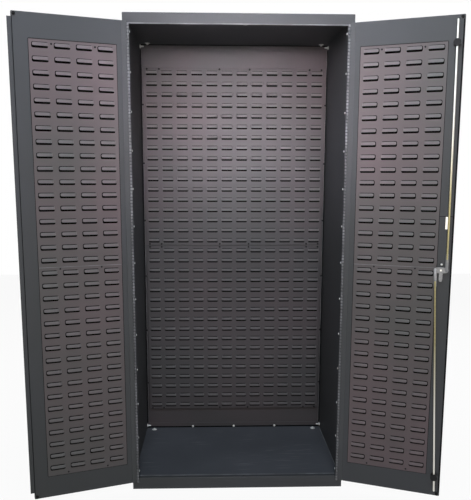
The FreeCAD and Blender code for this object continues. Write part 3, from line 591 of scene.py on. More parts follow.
def rounded_ring(edges, shrink, corner, steps=4):
    """Rounded rectangle as one closed row of (across, up): inside the edges near, low, far and high by
    the shrink, with a quarter circle at each corner, in order."""
    near, low, far, high = np.asarray(edges) + np.array([1, 1, -1, -1]) * (shrink + corner)
    turns = (np.arange(4)[:, None] * np.pi / 2 + np.linspace(0, np.pi / 2, steps) + np.pi).reshape(-1)
    across, up = np.repeat([near, far, far, near], steps), np.repeat([low, low, high, high], steps)
    return np.column_stack([across + corner * np.cos(turns), up + corner * np.sin(turns)])


def upright_sheet(x, y, z, flip=False):
    """Upright rectangle: X and Y run along its rows from one value to the next, Z from row to row."""
    flat = np.broadcast_arrays(np.reshape(x, (1, -1)), np.reshape(y, (1, -1)), np.reshape(z, (-1, 1)))
    return patch(np.stack(flat, axis=-1), flip=flip)


print("slots are", SLOT_TALL * 1000, "mm tall, in rows", ROW_STEP * 1000, "mm apart")

# %% [markdown]
# The back wall carries two louvred trays, one above the other. Their rims are turned back to the wall, so
# the sheet stands a little in front of it. Rounded rectangles that shrink while they come forward give
# the rim. A near-black sheet behind the slots is painted shade and keeps the back sheet from showing through
# them.

# %% Back louvred panels
BACK_COLUMNS, BACK_STEP, BACK_WIDE = 12, 0.0732, 0.054
STANDOFF, TRAY_BEND, TRAY_CORNER, SHADE_SHEET_OFF = 0.012, np.linspace(0, np.pi / 2, 5), 0.0001, 0.002


def back_tray(node):
    """Tray with its rim turned back to the wall: rounded rectangles that shrink by a bend while they come
    forward, and the slotted sheet inside the last of them. Gives the tray, its bridges and a near-black
    sheet of painted shade behind the slots."""
    (x0, _, z0), (x1, y1, z1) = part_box(node)
    face, flat = y1 - STANDOFF, 1.5 * BEND
    inset = np.concatenate([[0.0, 0.0], BEND * (1 - np.cos(TRAY_BEND)), [flat]])
    depth = np.concatenate([[y1, face + flat], face + BEND * (1 - np.sin(TRAY_BEND)), [face]])
    rings = []
    for shrink, y in zip(inset, depth):
        ring = rounded_ring((x0, z0, x1, z1), shrink, TRAY_CORNER)
        rings.append(np.column_stack([ring[:, 0], np.full(len(ring), y), ring[:, 1]]))
    places_x = (x0 + x1) / 2 + (np.arange(BACK_COLUMNS) - (BACK_COLUMNS - 1) / 2) * BACK_STEP
    low_z = (z0 + z1 - (ROWS - 1) * ROW_STEP - SLOT_TALL) / 2 + np.arange(ROWS) * ROW_STEP
    across, up = slotted((x0 + flat, z0 + flat, x1 - flat, z1 - flat), places_x, low_z, BACK_WIDE)
    front = copies(np.stack([across, np.full_like(across, face), up], axis=-1), closed=True)
    across, proud, up = bridges(places_x, low_z, BACK_WIDE)
    tongues = copies(np.stack([across, face - proud, up], axis=-1))
    shade_sheet = upright_sheet((x0 + flat, x1 - flat), y1 - SHADE_SHEET_OFF, (z0 + flat, z1 - flat))
    return [patch(np.stack(rings), closed=True), front], [tongues], [shade_sheet]


for level in ("lower", "upper"):
    node = level + "_back_louver_panel"
    tray, tongues, shade_sheet = back_tray(node)
    piece(level + "_back_tray", tray, BACK_SHADED, "cabinet", [node])
    piece(level + "_back_louvers", tongues, BACK_SHADED_HIGHLIGHT, "cabinet", thick=LOUVER_THICK)
    piece(level + "_back_lining", shade_sheet, SHADE, "cabinet")

# %% [markdown]
# Where two sheets meet, a real cabinet shows a dark gap, and the sheet's cut edge beside it catches the
# light. A gap of half a millimetre is too thin to model for a view of the whole cabinet, so the shade in
# the gap is painted on narrow dark films, and the light on the edge on pale films, laid along the seams.
# Films also give the floor's back flange the back's darker paint, which is painted shade, and the outside
# of the back its paint.

# %% Painted shade and highlights round the back wall
SEAM_WIDE, HIGHLIGHT_WIDE, PROUD_FILM = 0.0050, 0.0014, 0.0003
ROOF_SEAM, FOOT_SEAM = 0.004, (0.0005, 0.0070)
wall_x, roof = right_x - sheet, top_z - sheet
foot, foot_y = floor_high + FOOT_SEAM[1], flange_y - BEND
across_wall, up_wall = (-wall_x, wall_x), (floor_high + flange_high, top_z - flange_high)
shade_strips, highlight_strips = [upright_sheet(across_wall, flange_y - PROUD_FILM, (roof - ROOF_SEAM, roof))], []
for sign in (-1, 1):
    lines = sign * (wall_x - np.array([0.0, SEAM_WIDE, SEAM_WIDE + HIGHLIGHT_WIDE]))
    shade_strips.append(upright_sheet(np.sort(lines[:2]), wall_y - PROUD_FILM, up_wall))
    highlight_strips.append(upright_sheet(np.sort(lines[1:]), wall_y - PROUD_FILM, up_wall))
shade_strips.append(upright_sheet(across_wall, foot_y - PROUD_FILM, (floor_high + FOOT_SEAM[0], foot)))
flange_film = upright_sheet(across_wall, flange_y - PROUD_FILM, (foot, floor_high + flange_high))
(_, _, back_low), (_, back_out, _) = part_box("back_panel")
outside = upright_sheet(across_wall, back_out + FILM, (back_low, roof), flip=True)
piece("back_seams", shade_strips, SHADE, "cabinet")
piece("floor_flange_film", [flange_film], BACK_SHADED, "cabinet")
piece("back_outside", [outside], SHELL, "cabinet")
piece("back_sheet_edges", highlight_strips, HIGHLIGHT_AND_WEAR, "cabinet")

# %% [markdown]
# A door is a tray as well: an outer skin, four edges and an inner frame of stiles and rails round a
# window. It could be joined from strips, but then each corner would need a mitre. Walking round the door
# on rounded rectangles, first at the window's edge, then over the frame, round the edges and across the
# skin, gives all of it as one unbroken surface. The louvred sheets sit behind the window.

# %% Door trays
INNER, DOOR_THICK, EDGE = -0.003, 0.020, 0.0016
PAN_NEAR, DOOR_LOW, DOORS_APART = 0.024, 0.033, 0.006
DOOR_HIGH, PAN_FAR = top_z - DOOR_LOW, abs(doors["right"]["x"]) - DOORS_APART / 2
HINGE_STILE, FREE_STILE, TOP_RAIL, BOTTOM_RAIL = 0.020, 0.056, 0.092, 0.088
RIM = (PAN_NEAR, DOOR_LOW, PAN_FAR, DOOR_HIGH)
WINDOW = (PAN_NEAR + HINGE_STILE, DOOR_LOW + BOTTOM_RAIL, PAN_FAR - FREE_STILE, DOOR_HIGH - TOP_RAIL)
DOOR_CORNER, WINDOW_SOFT, WINDOW_FLAT = 0.003, 0.0005, 0.0020
door_face = INNER - sheet


def door_tray(side):
    """Rows of rounded rectangles from the window's inner lip to the outer skin, placed on the open door.
    The stiles lie a film's thickness under the solid's, so that the rod guides stand clear of them."""
    face, skin = INNER - FILM, INNER - DOOR_THICK
    quarter = np.linspace(0, np.pi / 2, 4)
    rows = [(WINDOW, 0.0, door_face + 2 * FILM), (WINDOW, 0.0, face - WINDOW_SOFT),
            (WINDOW, -WINDOW_SOFT, face), (WINDOW, -WINDOW_FLAT, face), (RIM, 2 * EDGE, face)]
    rows += [(RIM, EDGE * (1 - math.sin(t)), face - EDGE * (1 - math.cos(t))) for t in quarter]
    rows += [(RIM, 0.0, INNER - 2 * EDGE), (RIM, 0.0, skin + 2 * EDGE)]
    rows += [(RIM, EDGE * (1 - math.cos(t)), skin + EDGE * (1 - math.sin(t))) for t in quarter]
    rows += [(RIM, 2 * EDGE, skin)]
    rings = []
    for edges, shrink, depth in rows:
        ring = rounded_ring(edges, shrink, DOOR_CORNER)
        rings.append(on_door(side, ring[:, 0], depth, ring[:, 1]))
    return [patch(np.stack(rings), closed=True, flip=side == "right", cap_last=True)]


for side in SIDES:
    piece(side + "_door_tray", door_tray(side), SHELL, side + "_door", [side + "_door_pan"])

# %% Door louvred panels
DOOR_COLUMNS, DOOR_STEP, DOOR_WIDE, END_GAP = 4, 0.0815, 0.058, 0.0024
PANEL_LAP, FIRST_ROW, SHADE_SHEET_DOWN = 0.004, 0.016, 0.010
seam_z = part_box("left_door_upper_louver_panel")[0][2]


def door_strip(side, near, far, low, high, inward):
    """Flat rectangle on an open door that faces inwards."""
    points = on_door(side, np.array([[near, far]]), inward, np.array([[low], [high]]))
    return patch(points, flip=side == "left")


def door_sheet(side, level):
    """Slotted sheet behind the window with its bridges and a near-black sheet of painted shade behind it,
    placed on the open door. The rows keep their step across the seam between the two sheets."""
    (_, _, low), (_, _, high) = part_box("%s_door_%s_louver_panel" % (side, level))
    near, far = WINDOW[0] - PANEL_LAP, WINDOW[2] + PANEL_LAP
    places = (near + far) / 2 + (np.arange(DOOR_COLUMNS) - (DOOR_COLUMNS - 1) / 2) * DOOR_STEP
    rows = np.arange(ROWS) if level == "upper" else np.arange(ROWS) - ROWS
    low_z = seam_z + FIRST_ROW + rows * ROW_STEP
    across, up = slotted((near, low, far, high), places, low_z, DOOR_WIDE, END_GAP)
    flat = copies(on_door(side, across, door_face, up), closed=True, flip=side == "left")
    across, proud, up = bridges(places, low_z, DOOR_WIDE, True)
    tongues = copies(on_door(side, across, door_face + proud, up), flip=side == "left")
    return [flat], [tongues], [door_strip(side, near, far, low, high, door_face - SHADE_SHEET_DOWN)]


for side in SIDES:
    for level in ("lower", "upper"):
        name = "%s_door_%s" % (side, level)
        flat, tongues, shade_sheet = door_sheet(side, level)
        piece(name + "_sheet", flat, LOUVER, side + "_door", [name + "_louver_panel"])
        piece(name + "_louvers", tongues, LOUVER_HIGHLIGHT, side + "_door", thick=LOUVER_THICK)
        piece(name + "_lining", shade_sheet, SHADE, side + "_door")

# %% [markdown]
# The doors have lines too, films like those of the back wall. Round the window the sheet sits behind the
# frame, and the shade at its edge is painted; along the free edge a dark line is partly painted shade;
# across the right door's free stile runs a dark joint; and between the two louvred sheets the cut edge
# shines, a painted highlight.

# %% Painted shade and highlights on the doors
LINE_FILM, WINDOW_SHADE = 0.0002, 0.0017
EDGE_LINE, EDGE_END = {"left": 0.0036, "right": 0.0062}, 0.017
STILE_LINE, STILE_END, SHEET_HIGHLIGHT, SHEET_END = (1.1966, 1.1984), 0.004, (-0.0012, 0.0004), 0.003
for side in SIDES:
    rings = []
    for shrink in (0.0, WINDOW_SHADE):
        ring = rounded_ring(WINDOW, shrink, DOOR_CORNER - shrink)
        rings.append(on_door(side, ring[:, 0], door_face + LINE_FILM, ring[:, 1]))
    dark = [patch(np.stack(rings), closed=True, flip=side == "left"),
            door_strip(side, PAN_FAR - EDGE_LINE[side], PAN_FAR - EDGE, DOOR_LOW + EDGE_END,
                       DOOR_HIGH - EDGE_END, INNER + LINE_FILM)]
    if side == "right":
        dark.append(door_strip(side, WINDOW[2], PAN_FAR - STILE_END, *STILE_LINE, INNER + LINE_FILM))
    light_line = door_strip(side, WINDOW[0] + SHEET_END, WINDOW[2] - SHEET_END, seam_z + SHEET_HIGHLIGHT[0],
                     seam_z + SHEET_HIGHLIGHT[1], door_face + LINE_FILM)
    piece(side + "_door_seams", dark, SHADE, side + "_door")
    piece(side + "_sheet_edge", [light_line], HIGHLIGHT_AND_WEAR, side + "_door")

# %% [markdown]
# Each door hangs on a piano hinge as long as the door. Its barrel is a row of short knuckles that belong
# by turns to the frame and to the door. The imported model has a few long knuckles. Here they are as short
# as real ones: the odd ones ride on the cabinet and the even ones on the door. The door's leaf is wide
# and folded along the door's edge, which lets the door swing clear of the jamb. The leaves take a lighter
# paint than the shell, painted light, and the knuckles a pale one, a painted highlight on their round backs.

# %% Piano hinges
BARREL, KNUCKLE, KNUCKLE_GAP, KNUCKLE_SOFT = 0.0045, 0.0130, 0.0030, 0.0008
LEAF_FOLD, LEAF_BEND, LEAF_START, LEAF_SHORT = 0.014, 0.0012, 0.0012, 0.014
TURN = np.linspace(0, 2 * np.pi, 13)[:-1]


def barrel(side, first):
    """Every second knuckle as a short tube about the hinge line whose ends are drawn in a little."""
    door, top = doors[side], KNUCKLE - KNUCKLE_GAP
    low = np.arange(DOOR_LOW + first * KNUCKLE, DOOR_HIGH - KNUCKLE, 2 * KNUCKLE)
    height = np.array([0.0, 0.0, KNUCKLE_SOFT, top - KNUCKLE_SOFT, top, top])
    radius = BARREL * np.array([0.4, 0.85, 1.0, 1.0, 0.85, 0.4])
    x = door["x"] + radius[:, None] * np.cos(TURN)
    y = door["y"] + radius[:, None] * np.sin(TURN)
    z = low[:, None, None] + height[:, None]
    return copies(np.stack(np.broadcast_arrays(x, y, z), axis=-1), closed=True)


def upright(side, profile, low, high, flip):
    """A profile of (across, inward) on an open door, carried upwards."""
    return patch(np.stack([on_door(side, profile[:, 0], profile[:, 1], z) for z in (low, high)]), flip=flip)


for side in SIDES:
    door = doors[side]
    leaf = folded([(BARREL * 0.8, INNER), (PAN_NEAR, INNER), (PAN_NEAR, INNER - LEAF_FOLD)], LEAF_BEND)
    strip = upright_sheet(door["x"] + door["sign"] * (BARREL - FILM),
                          (door["y"] + LEAF_START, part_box(side + "_hinge_frame_leaf")[1][1]),
                          (base_high + LEAF_SHORT, head_low - LEAF_SHORT), flip=side == "right")
    piece(side + "_door_hinge_leaf", [upright(side, leaf, DOOR_LOW, DOOR_HIGH, side == "left")], HINGE_LIT,
          side + "_door", [side + "_hinge_door_leaf"])
    piece(side + "_door_knuckles", [barrel(side, 1)], HIGHLIGHT_AND_WEAR, side + "_door")
    piece(side + "_frame_hinge_leaf", [strip], HINGE_LIT, "cabinet", [side + "_hinge_frame_leaf"])
    piece(side + "_frame_knuckles", [barrel(side, 0)], HIGHLIGHT_AND_WEAR, "cabinet")

# %% [markdown]
# Screws are small lathe shapes: a profile of radius and height turned about the screw's own axis. The
# Screw modifier could turn it, but one screw at a time. Here one dome serves for all of them, set out
# along the jambs, the back wall, the panels' edges and the stiles. The ones that hold the panels are
# painted over.

# %% Screws of the jambs
DOME_RADIUS = np.array([1.0, 1.0, 0.92, 0.70, 0.40, 0.36, 0.0])
DOME_HEIGHT = np.array([0.0, 0.30, 0.62, 0.88, 1.0, 0.70, 0.70])
SCREW_ROWS, SCREW_STEP, SCREW_IN, JAMB_SCREW = 13, 0.1524, 0.010, (0.0042, 0.0026)


def domes(spots, normal, radius, height):
    """A dome at every spot: circles of the profile's radii about the normal, at the profile's heights."""
    normal = np.asarray(normal, float)
    helper = np.array([0, 0, 1.0]) if abs(normal[2]) < 0.9 else np.array([1.0, 0, 0])
    side_way = np.cross(normal, helper)
    side_way /= np.linalg.norm(side_way)
    other = np.cross(normal, side_way)
    circle = np.cos(TURN)[:, None] * side_way + np.sin(TURN)[:, None] * other
    grid = radius * DOME_RADIUS[:, None, None] * circle + height * DOME_HEIGHT[:, None, None] * normal
    return copies(np.asarray(spots, float)[:, None, None, :] + grid, closed=True)


screw_z = (head_low + base_high) / 2 + (np.arange(SCREW_ROWS) - (SCREW_ROWS - 1) / 2) * SCREW_STEP
for side in SIDES:
    face_x = doors[side]["x"] + doors[side]["sign"] * BARREL
    spots = [(face_x, front_y + SCREW_IN, z) for z in screw_z]
    jamb_screws = domes(spots, (doors[side]["sign"], 0, 0), *JAMB_SCREW)
    piece(side + "_jamb_screws", [jamb_screws], SCREW_AND_GLINT, "cabinet")

# %% Bolts of the back wall
CORNER_X, CORNER_IN, SIDE_BOLT_IN, SIDE_BOLT_UP = 0.417, 0.030, 0.014, (0.012, 0.016)
FLOOR_BOLT_X, FLOOR_BOLT_UP, EDGE_SCREW_X, EDGE_SCREWS = (-0.216, 0.0, 0.216), 0.0065, 0.4475, 6
PANEL_GAPS, PANEL_SCREW_IN = (-5.8, -5, -1, 1, 5, 5.8), 0.007
FLOOR_BOLT, EDGE_SCREW, PANEL_SCREW = (0.0062, 0.0046), (0.0045, 0.003), (0.0046, 0.0028)
CORNER_WASHER, CORNER_NUT = (0.0130, 0.0020), (0.0072, 0.0075)
SIDE_NUT, SIDE_STUD = (0.0085, 0.0060), (0.0042, 0.0200)
floor_bolts = [(x, foot_y, floor_high + FLOOR_BOLT_UP) for x in FLOOR_BOLT_X]
piece("floor_bolts", [domes(floor_bolts, (0, -1, 0), *FLOOR_BOLT)], SCREW_AND_GLINT, "cabinet")
heads = []
for height, way in ((roof, -1), (floor_high, 1)):
    spots = [(sign * CORNER_X, wall_y - CORNER_IN, height) for sign in (-1, 1)]
    heads += [domes(spots, (0, 0, way), *size) for size in (CORNER_WASHER, CORNER_NUT)]
for sign in (-1, 1):
    spots = [(sign * wall_x, wall_y - SIDE_BOLT_IN, z)
             for z in (roof - SIDE_BOLT_UP[0], floor_high + SIDE_BOLT_UP[1])]
    heads += [domes(spots, (-sign, 0, 0), *size) for size in (SIDE_NUT, SIDE_STUD)]
piece("corner_bolts", heads, SCREW_AND_GLINT, "cabinet")
edge_z = top_z * np.arange(1, EDGE_SCREWS + 1) / (EDGE_SCREWS + 1)
edge_screws = [(sign * EDGE_SCREW_X, wall_y, z) for sign in (-1, 1) for z in edge_z]
piece("back_edge_screws", [domes(edge_screws, (0, -1, 0), *EDGE_SCREW)], BLACK_SCREW, "cabinet")
panel_boxes = [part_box(level + "_back_louver_panel") for level in ("lower", "upper")]
panel_screws = [(gap * BACK_STEP, high[1] - STANDOFF, z) for gap in PANEL_GAPS for low, high in panel_boxes
                for z in (low[2] + PANEL_SCREW_IN, high[2] - PANEL_SCREW_IN)]
piece("panel_screws", [domes(panel_screws, (0, -1, 0), *PANEL_SCREW)], BLACK_SCREW, "cabinet")

# %% Screws of the doors
SHEET_SCREW_IN = {"seam": 0.007, "top": 0.016, "bottom": 0.010}
LOCK_SCREW_IN, LOCK_SCREW_Z = 0.039, 1.008
SHEET_SCREW, LOCK_SCREW = (0.0036, 0.0022), (0.0045, 0.0030)
sheet_screw_z = (seam_z - SHEET_SCREW_IN["seam"], WINDOW[3] - SHEET_SCREW_IN["top"],
                 WINDOW[1] + SHEET_SCREW_IN["bottom"])


def door_domes(side, places, inward, radius, height):
    """Domes on an open door at places of (across, up), which face inwards."""
    facing = on_door(side, 0.0, 1.0, 0.0) - on_door(side, 0.0, 0.0, 0.0)
    return domes([on_door(side, across, inward, up) for across, up in places], facing, radius, height)


middle = (WINDOW[0] + WINDOW[2]) / 2
sheet_spots = [(middle + way * DOOR_STEP, z) for way in (-1, 1) for z in sheet_screw_z]
for side in SIDES:
    sheet_screws = door_domes(side, sheet_spots, door_face, *SHEET_SCREW)
    piece(side + "_sheet_screws", [sheet_screws], BLACK_SCREW, side + "_door")
lock_screw = door_domes("right", [(PAN_FAR - LOCK_SCREW_IN, LOCK_SCREW_Z)], INNER, *LOCK_SCREW)
piece("lock_screw", [lock_screw], SCREW_AND_GLINT, "right_door")

# %% [markdown]
# The lock is the cleverest piece. A cam on the handle's spindle drives two rods, one up into the header
# and one down into the base, and the cam's own tongue catches behind the other door. The cam is a stamped
# oval plate with a tab. Joining two outlines would need a trim where they cross, so its edge is drawn as
# the larger of an oval and a tab in every direction.

# %% Cam
LOCK_S, CAM_LOW, CAM_HIGH, CAM_SOFT, CAM_FLAT = PAN_FAR - 0.040, 0.006, 0.009, 0.0006, 0.0010
CAM_HALF, CAM_TALL, TAB_HALF, TAB_LONG, OVAL_POWER, TAB_POWER = 0.0285, 0.0120, 0.0072, 0.046, 2.6, 6
AROUND = np.linspace(0, 2 * np.pi, 97)[:-1]


def cam_edge(inset):
    """Outline of the cam as (across, up): a rounded oval, or the tab below it where that reaches further.
    Both are superellipses, whose roundness is set by a power."""
    cos, sin = np.cos(AROUND), np.sin(AROUND)
    oval, tab = (((np.abs(cos) / half) ** power + (np.abs(sin) / tall) ** power) ** (-1 / power)
                 for half, tall, power in ((CAM_HALF, CAM_TALL, OVAL_POWER), (TAB_HALF, TAB_LONG, TAB_POWER)))
    reach = np.where(sin < 0, np.maximum(oval, tab), oval) - inset
    return np.column_stack([reach * cos, reach * sin])


def lock_plate(rows):
    """A plate of the cam's outline from rows of (inset, inward), placed on the right door and closed at
    both ends."""
    rings = []
    for inset, inward in rows:
        ring = cam_edge(inset)
        rings.append(on_door("right", LOCK_S + ring[:, 0], inward, LOCK_Z + ring[:, 1]))
    return patch(np.stack(rings), closed=True, cap_first=True, cap_last=True)


cam_rows = [(CAM_FLAT, CAM_LOW), (CAM_SOFT, CAM_LOW), (0.0, CAM_LOW + CAM_SOFT), (0.0, CAM_HIGH - CAM_SOFT),
            (CAM_SOFT, CAM_HIGH), (CAM_FLAT, CAM_HIGH)]
piece("cam", [lock_plate(cam_rows)], DULL_ZINC, "lock", ["lock_cam"])

# %% [markdown]
# The rods are yellow zinc with a grey strap at the cam. Each leans a little, from its pin on the cam's
# arm to its guide, so a rod is a stack of rings along that line rather than a straight cylinder that
# would have to be turned.

# %% Rods and straps
ROD, ROD_POINT, ROD_TAPER, ROD_SHORT = 0.0039, 0.0004, 0.003, 0.0006
STRAP_WIDE, STRAP_LONG, STRAP_LAP, STRAP_CORNER, ARM = 0.0118, 0.074, 0.030, 0.0058, 0.0216
STRAP_ROWS = ((0.0008, 0.0094), (0.0, 0.0100), (0.0, 0.0118), (0.0008, 0.0124))
STRAP_EDGES = (-STRAP_WIDE / 2, -STRAP_WIDE / 2, STRAP_WIDE / 2, STRAP_LONG - STRAP_WIDE / 2)
UPPER_GUIDE, LOWER_GUIDE = (PAN_FAR - 0.025, 1.8452), (PAN_FAR - 0.024, 0.1200)
RODS = {"upper": (LOCK_S + ARM, UPPER_GUIDE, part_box("upper_lock_rod")[1][2]),
        "lower": (LOCK_S - ARM, LOWER_GUIDE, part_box("lower_lock_rod")[0][2])}


def rod_bar(pin, way, beside, length):
    """Bar from the strap to the rod's tip: rings of (radius, distance) about the line that leaves the pin
    along the way, at the rods' own depth, with a tapered tip."""
    cos, sin = np.cos(AROUND[::6]), np.sin(AROUND[::6])
    rings = []
    for radius, distance in ((ROD_POINT, STRAP_LONG - STRAP_LAP), (ROD, STRAP_LONG - STRAP_LAP),
                             (ROD, length - ROD_TAPER), (ROD * 0.6, length - ROD_SHORT),
                             (ROD_POINT, length - ROD_SHORT)):
        spot = pin + way * distance + radius * cos[:, None] * beside
        rings.append(on_door("right", spot[:, 0], ROD_IN + radius * sin, spot[:, 1]))
    return patch(np.stack(rings), closed=True, flip=True, cap_first=True, cap_last=True)


def rod_strap(pin, way, beside):
    """Flat strap with round ends over the pin: rounded rectangles that stack up through its thickness."""
    rings = []
    for inset, inward in STRAP_ROWS:
        ring = rounded_ring(STRAP_EDGES, inset, STRAP_CORNER - inset, 6)
        spot = pin + ring[:, :1] * beside + ring[:, 1:] * way
        rings.append(on_door("right", spot[:, 0], inward, spot[:, 1]))
    return patch(np.stack(rings), closed=True, cap_first=True, cap_last=True)


for level, (pin_s, guide, tip) in RODS.items():
    pin = np.array([pin_s, LOCK_Z])
    way = (guide - pin) / np.linalg.norm(guide - pin)
    beside = np.array([way[1], -way[0]])
    bar = rod_bar(pin, way, beside, (tip - LOCK_Z) / way[1])
    piece(level + "_rod_bar", [bar], GOLD, level + "_rod", [level + "_lock_rod"])
    piece(level + "_strap", [rod_strap(pin, way, beside)], DULL_ZINC, level + "_rod")

# %% [markdown]
# On the outside a lever handle turns the cam. It is a cast and plated piece: a round hub with softened
# rims, and a lever whose flat oval section narrows towards its tip. A thin round plate lies under the
# hub. Sculpting would suit a casting too, but rings about the spindle and sections along the lever keep
# its sizes exact.

# %% Handle
HUB, HUB_FOOT, HUB_LONG, BORE, BORE_DEEP = 0.0140, 0.0017, 0.027, 0.0062, 0.009
LEVER_LONG, LEVER_OFF, LEVER_POWER, POINT = 0.096, 0.021, 0.7, 0.0010
PLATE_ROWS = ((POINT, 0.0), (0.0225, 0.0), (0.0230, 0.0006), (0.0225, 0.0014), (0.0100, 0.0016),
              (POINT, 0.0016))
HUB_ROWS = ((HUB, HUB_FOOT), (HUB, 0.0245), (HUB * 0.985, 0.0256), (HUB * 0.93, 0.0266),
            (HUB * 0.86, HUB_LONG), (BORE, HUB_LONG), (BORE, HUB_LONG - BORE_DEEP),
            (POINT, HUB_LONG - BORE_DEEP))
LEVER_REACH = LEVER_LONG * np.array([0.0, 0.10, 0.25, 0.50, 0.75, 0.92, 0.975, 0.996, 1.0])
LEVER_HALF = np.array([0.0095, 0.0098, 0.0095, 0.0085, 0.0074, 0.0066, 0.0056, 0.0032, 0.0004])
LEVER_DEEP = np.array([0.0040, 0.0040, 0.0040, 0.0040, 0.0039, 0.0036, 0.0030, 0.0016, 0.0003])
outer_face = INNER - DOOR_THICK


def about_lock(rows, hollow):
    """Rings of (radius, distance) about the spindle's line, on the door's outside, with an open or a
    filled middle."""
    cos, sin = np.cos(AROUND[::2]), np.sin(AROUND[::2])
    rings = [on_door("right", LOCK_S + radius * cos, outer_face - distance, LOCK_Z + radius * sin)
             for radius, distance in rows]
    return patch(np.stack(rings), closed=True, flip=True, cap_first=not hollow, cap_last=not hollow)


def lever():
    """Sections along the lever: superellipses, the cosine and the sine raised to a power, that narrow to
    the tip."""
    wide, deep = (np.sign(wave) * np.abs(wave) ** LEVER_POWER
                  for wave in (np.cos(AROUND[::4]), np.sin(AROUND[::4])))
    points = on_door("right", LOCK_S - LEVER_REACH[:, None],
                     outer_face - LEVER_OFF + LEVER_DEEP[:, None] * deep,
                     LOCK_Z + LEVER_HALF[:, None] * wide)
    return patch(points, closed=True, flip=True, cap_last=True)


piece("handle", [about_lock(HUB_ROWS, True), lever()], CHROME, "lock", ["lock_handle"])
piece("handle_plate", [about_lock(PLATE_ROWS, False)], CHROME, "right_door")

# %% [markdown]
# The nodes that stay as they are still need their finish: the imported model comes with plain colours, so
# each remaining node gets the paint, plating, rubber or plastic of the real piece.

# %% Finishes of the nodes that stay
KEPT = {"back_panel": BACK_SHADED, "floor_channel": SHELL, "meeting_strip": SHELL, "left_hinge_pin": SHELL,
        "right_hinge_pin": SHELL, "stiffener_clip": ZINC, "key_plug": CHROME, "lock_spindle": ZINC,
        "cam_screw": ZINC, "upper_rod_guide": PLASTIC, "lower_rod_guide": PLASTIC,
        "left_door_bumpers": RUBBER, "right_door_bumpers": RUBBER}
for name, finish in KEPT.items():
    mesh = frame["nodes"][name].data
    mesh.materials.clear()
    mesh.materials.append(finish)
print(len(KEPT), "nodes painted")

# %% [markdown]
# The camera stands where the photographer stood, a little left of the middle and at chest height. Turning
# it by eye would never bring every edge home, so it is fitted to the cabinet's corners, and given as a
# place, three small angles, a focal length in pixels and the pixel that the lens looks straight at.

# %% Camera
IMAGE_WIDE, IMAGE_HIGH = 471, 500
FOCAL, CENTRE_X, CENTRE_Y = 639.66, 234.98, 280.30
EYE = Vector((-0.0971, -2.9359, 1.3447))
PITCH, ROLL, YAW = math.radians(9.095), math.radians(-0.149), math.radians(1.810)
to_camera = Matrix.Rotation(YAW, 3, "Z") @ Matrix.Rotation(PITCH, 3, "X") @ Matrix.Rotation(ROLL, 3, "Y")
to_world = to_camera.transposed()
turn = Matrix((to_world.col[0], to_world.col[2], -to_world.col[1])).transposed()
lens = bpy.data.cameras.new("camera")
lens.sensor_fit = "HORIZONTAL"
lens.sensor_width = 36.0
lens.lens = FOCAL / IMAGE_WIDE * lens.sensor_width
lens.shift_x = (IMAGE_WIDE / 2 - CENTRE_X) / IMAGE_WIDE
lens.shift_y = (CENTRE_Y - IMAGE_HIGH / 2) / IMAGE_WIDE
camera = bpy.data.objects.new("camera", lens)
camera.matrix_world = Matrix.Translation(EYE) @ turn.to_4x4()
bpy.context.scene.collection.objects.link(camera)
bpy.context.scene.camera = camera
print("camera at", [round(v, 3) for v in EYE])

# %% [markdown]
# A studio sweep is enough round a dark cabinet: a pale floor and a white background. Both are white to
# the camera and to reflections alone, so they add little light to the inside, and the floor still takes a
# faint shadow.

# %% Studio floor
GROUND, FLOOR_WHITE = 6, 0.94


def seen_directly(nodes, links):
    """One for rays from the camera or off a glossy surface, nought for all others."""
    path, either = nodes.new("ShaderNodeLightPath"), nodes.new("ShaderNodeMath")
    either.operation = "MAXIMUM"
    links.new(path.outputs["Is Camera Ray"], either.inputs[0])
    links.new(path.outputs["Is Glossy Ray"], either.inputs[1])
    return either.outputs["Value"]


ground = bpy.data.meshes.new("studio_floor")
corners = [(-GROUND, -GROUND, 0), (GROUND, -GROUND, 0), (GROUND, GROUND, 0), (-GROUND, GROUND, 0)]
ground.from_pydata(corners, [], [(0, 1, 2, 3)])
pale, plain, nodes, links = new_finish("pale_floor", 0.5)
glow, blend = nodes.new("ShaderNodeEmission"), nodes.new("ShaderNodeMixShader")
share = nodes.new("ShaderNodeMath")
plain.inputs["Base Color"].default_value = (0.8, 0.8, 0.8, 1)
plain.inputs["Roughness"].default_value = 0.9
glow.inputs["Color"].default_value = (1, 1, 1, 1)
share.operation = "MULTIPLY"
share.inputs[1].default_value = FLOOR_WHITE
links.new(seen_directly(nodes, links), share.inputs[0])
links.new(share.outputs["Value"], blend.inputs["Fac"])
links.new(plain.outputs["BSDF"], blend.inputs[1])
links.new(glow.outputs["Emission"], blend.inputs[2])
links.new(blend.outputs["Shader"], nodes["Material Output"].inputs["Surface"])
ground.materials.append(pale)
floor = bpy.data.objects.new("studio_floor", ground)
bpy.context.scene.collection.objects.link(floor)
print("floor", 2 * GROUND, "m wide")

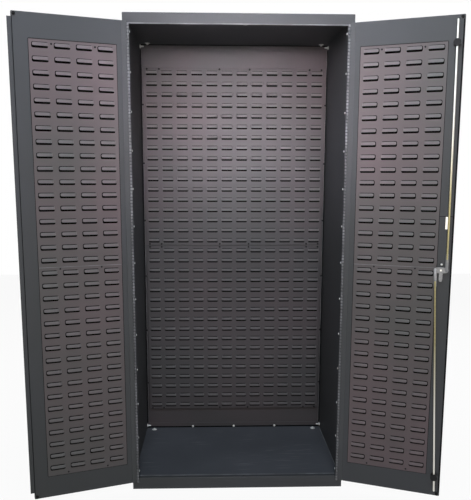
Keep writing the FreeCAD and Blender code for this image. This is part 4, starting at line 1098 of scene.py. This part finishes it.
# %% Background
WORLD_LIGHT = (0.03, 1.0)
world = bpy.data.worlds.new("studio")
world.use_nodes = True
bpy.context.scene.world = world
nodes, links = world.node_tree.nodes, world.node_tree.links
background, strength = nodes["Background"], nodes.new("ShaderNodeMapRange")
background.inputs["Color"].default_value = (1, 1, 1, 1)
strength.inputs["To Min"].default_value, strength.inputs["To Max"].default_value = WORLD_LIGHT
links.new(seen_directly(nodes, links), strength.inputs["Value"])
links.new(strength.outputs["Result"], background.inputs["Strength"])
print("background made")

# %% [markdown]
# Large soft lamps light the cabinet from the front and above: cool from above, warm from below. Two
# narrow ones reach the inside and the upper right, and three plain ones show the sides and the back. Each
# lamp is a place, the point it aims at, a width, a power in watts, a spread in degrees and a colour.

# %% Lamps
LAMPS = {"high": ((0.0, -1.9, 3.2), (0, -0.4, 1.5), 1.2, 33.5, 180, (0.70, 0.85, 1.0)),
         "front": ((0.0, -3.6, 2.2), (0, 0.3, 1.75), 1.0, 7.0, 70, (1.0, 0.91, 0.94)),
         "inside": ((0.0, -3.4, 1.66), (0, 0.3, 1.64), 0.7, 2.2, 15, (1.0, 0.90, 0.97)),
         "low": ((0.0, -3.3, 1.1), (0, 0, 0.9), 1.2, 9.8, 180, (1.0, 0.90, 0.72)),
         "aside": ((-1.8, -2.2, 2.1), (0.6, -0.1, 1.85), 0.8, 1.9, 32, (0.95, 0.95, 1.0)),
         "left": ((-3.0, 0.6, 1.8), (0, 0, 1.0), 1.6, 30, 180, (1.0, 1.0, 1.0)),
         "right": ((3.0, 0.6, 1.8), (0, 0, 1.0), 1.6, 30, 180, (1.0, 1.0, 1.0)),
         "behind": ((0.8, 3.4, 2.4), (0, 0, 1.0), 1.8, 45, 180, (1.0, 1.0, 1.0))}
for name, (spot, aim, wide, watts, spread, colour) in LAMPS.items():
    data = bpy.data.lights.new(name, "AREA")
    data.size, data.energy, data.color, data.spread = wide, watts, colour, math.radians(spread)
    lamp = bpy.data.objects.new(name, data)
    lamp.location = spot
    lamp.rotation_euler = (Vector(aim) - Vector(spot)).to_track_quat("-Z", "Y").to_euler()
    bpy.context.scene.collection.objects.link(lamp)
bpy.context.scene.view_settings.view_transform = "Standard"
print(len(LAMPS), "lamps")
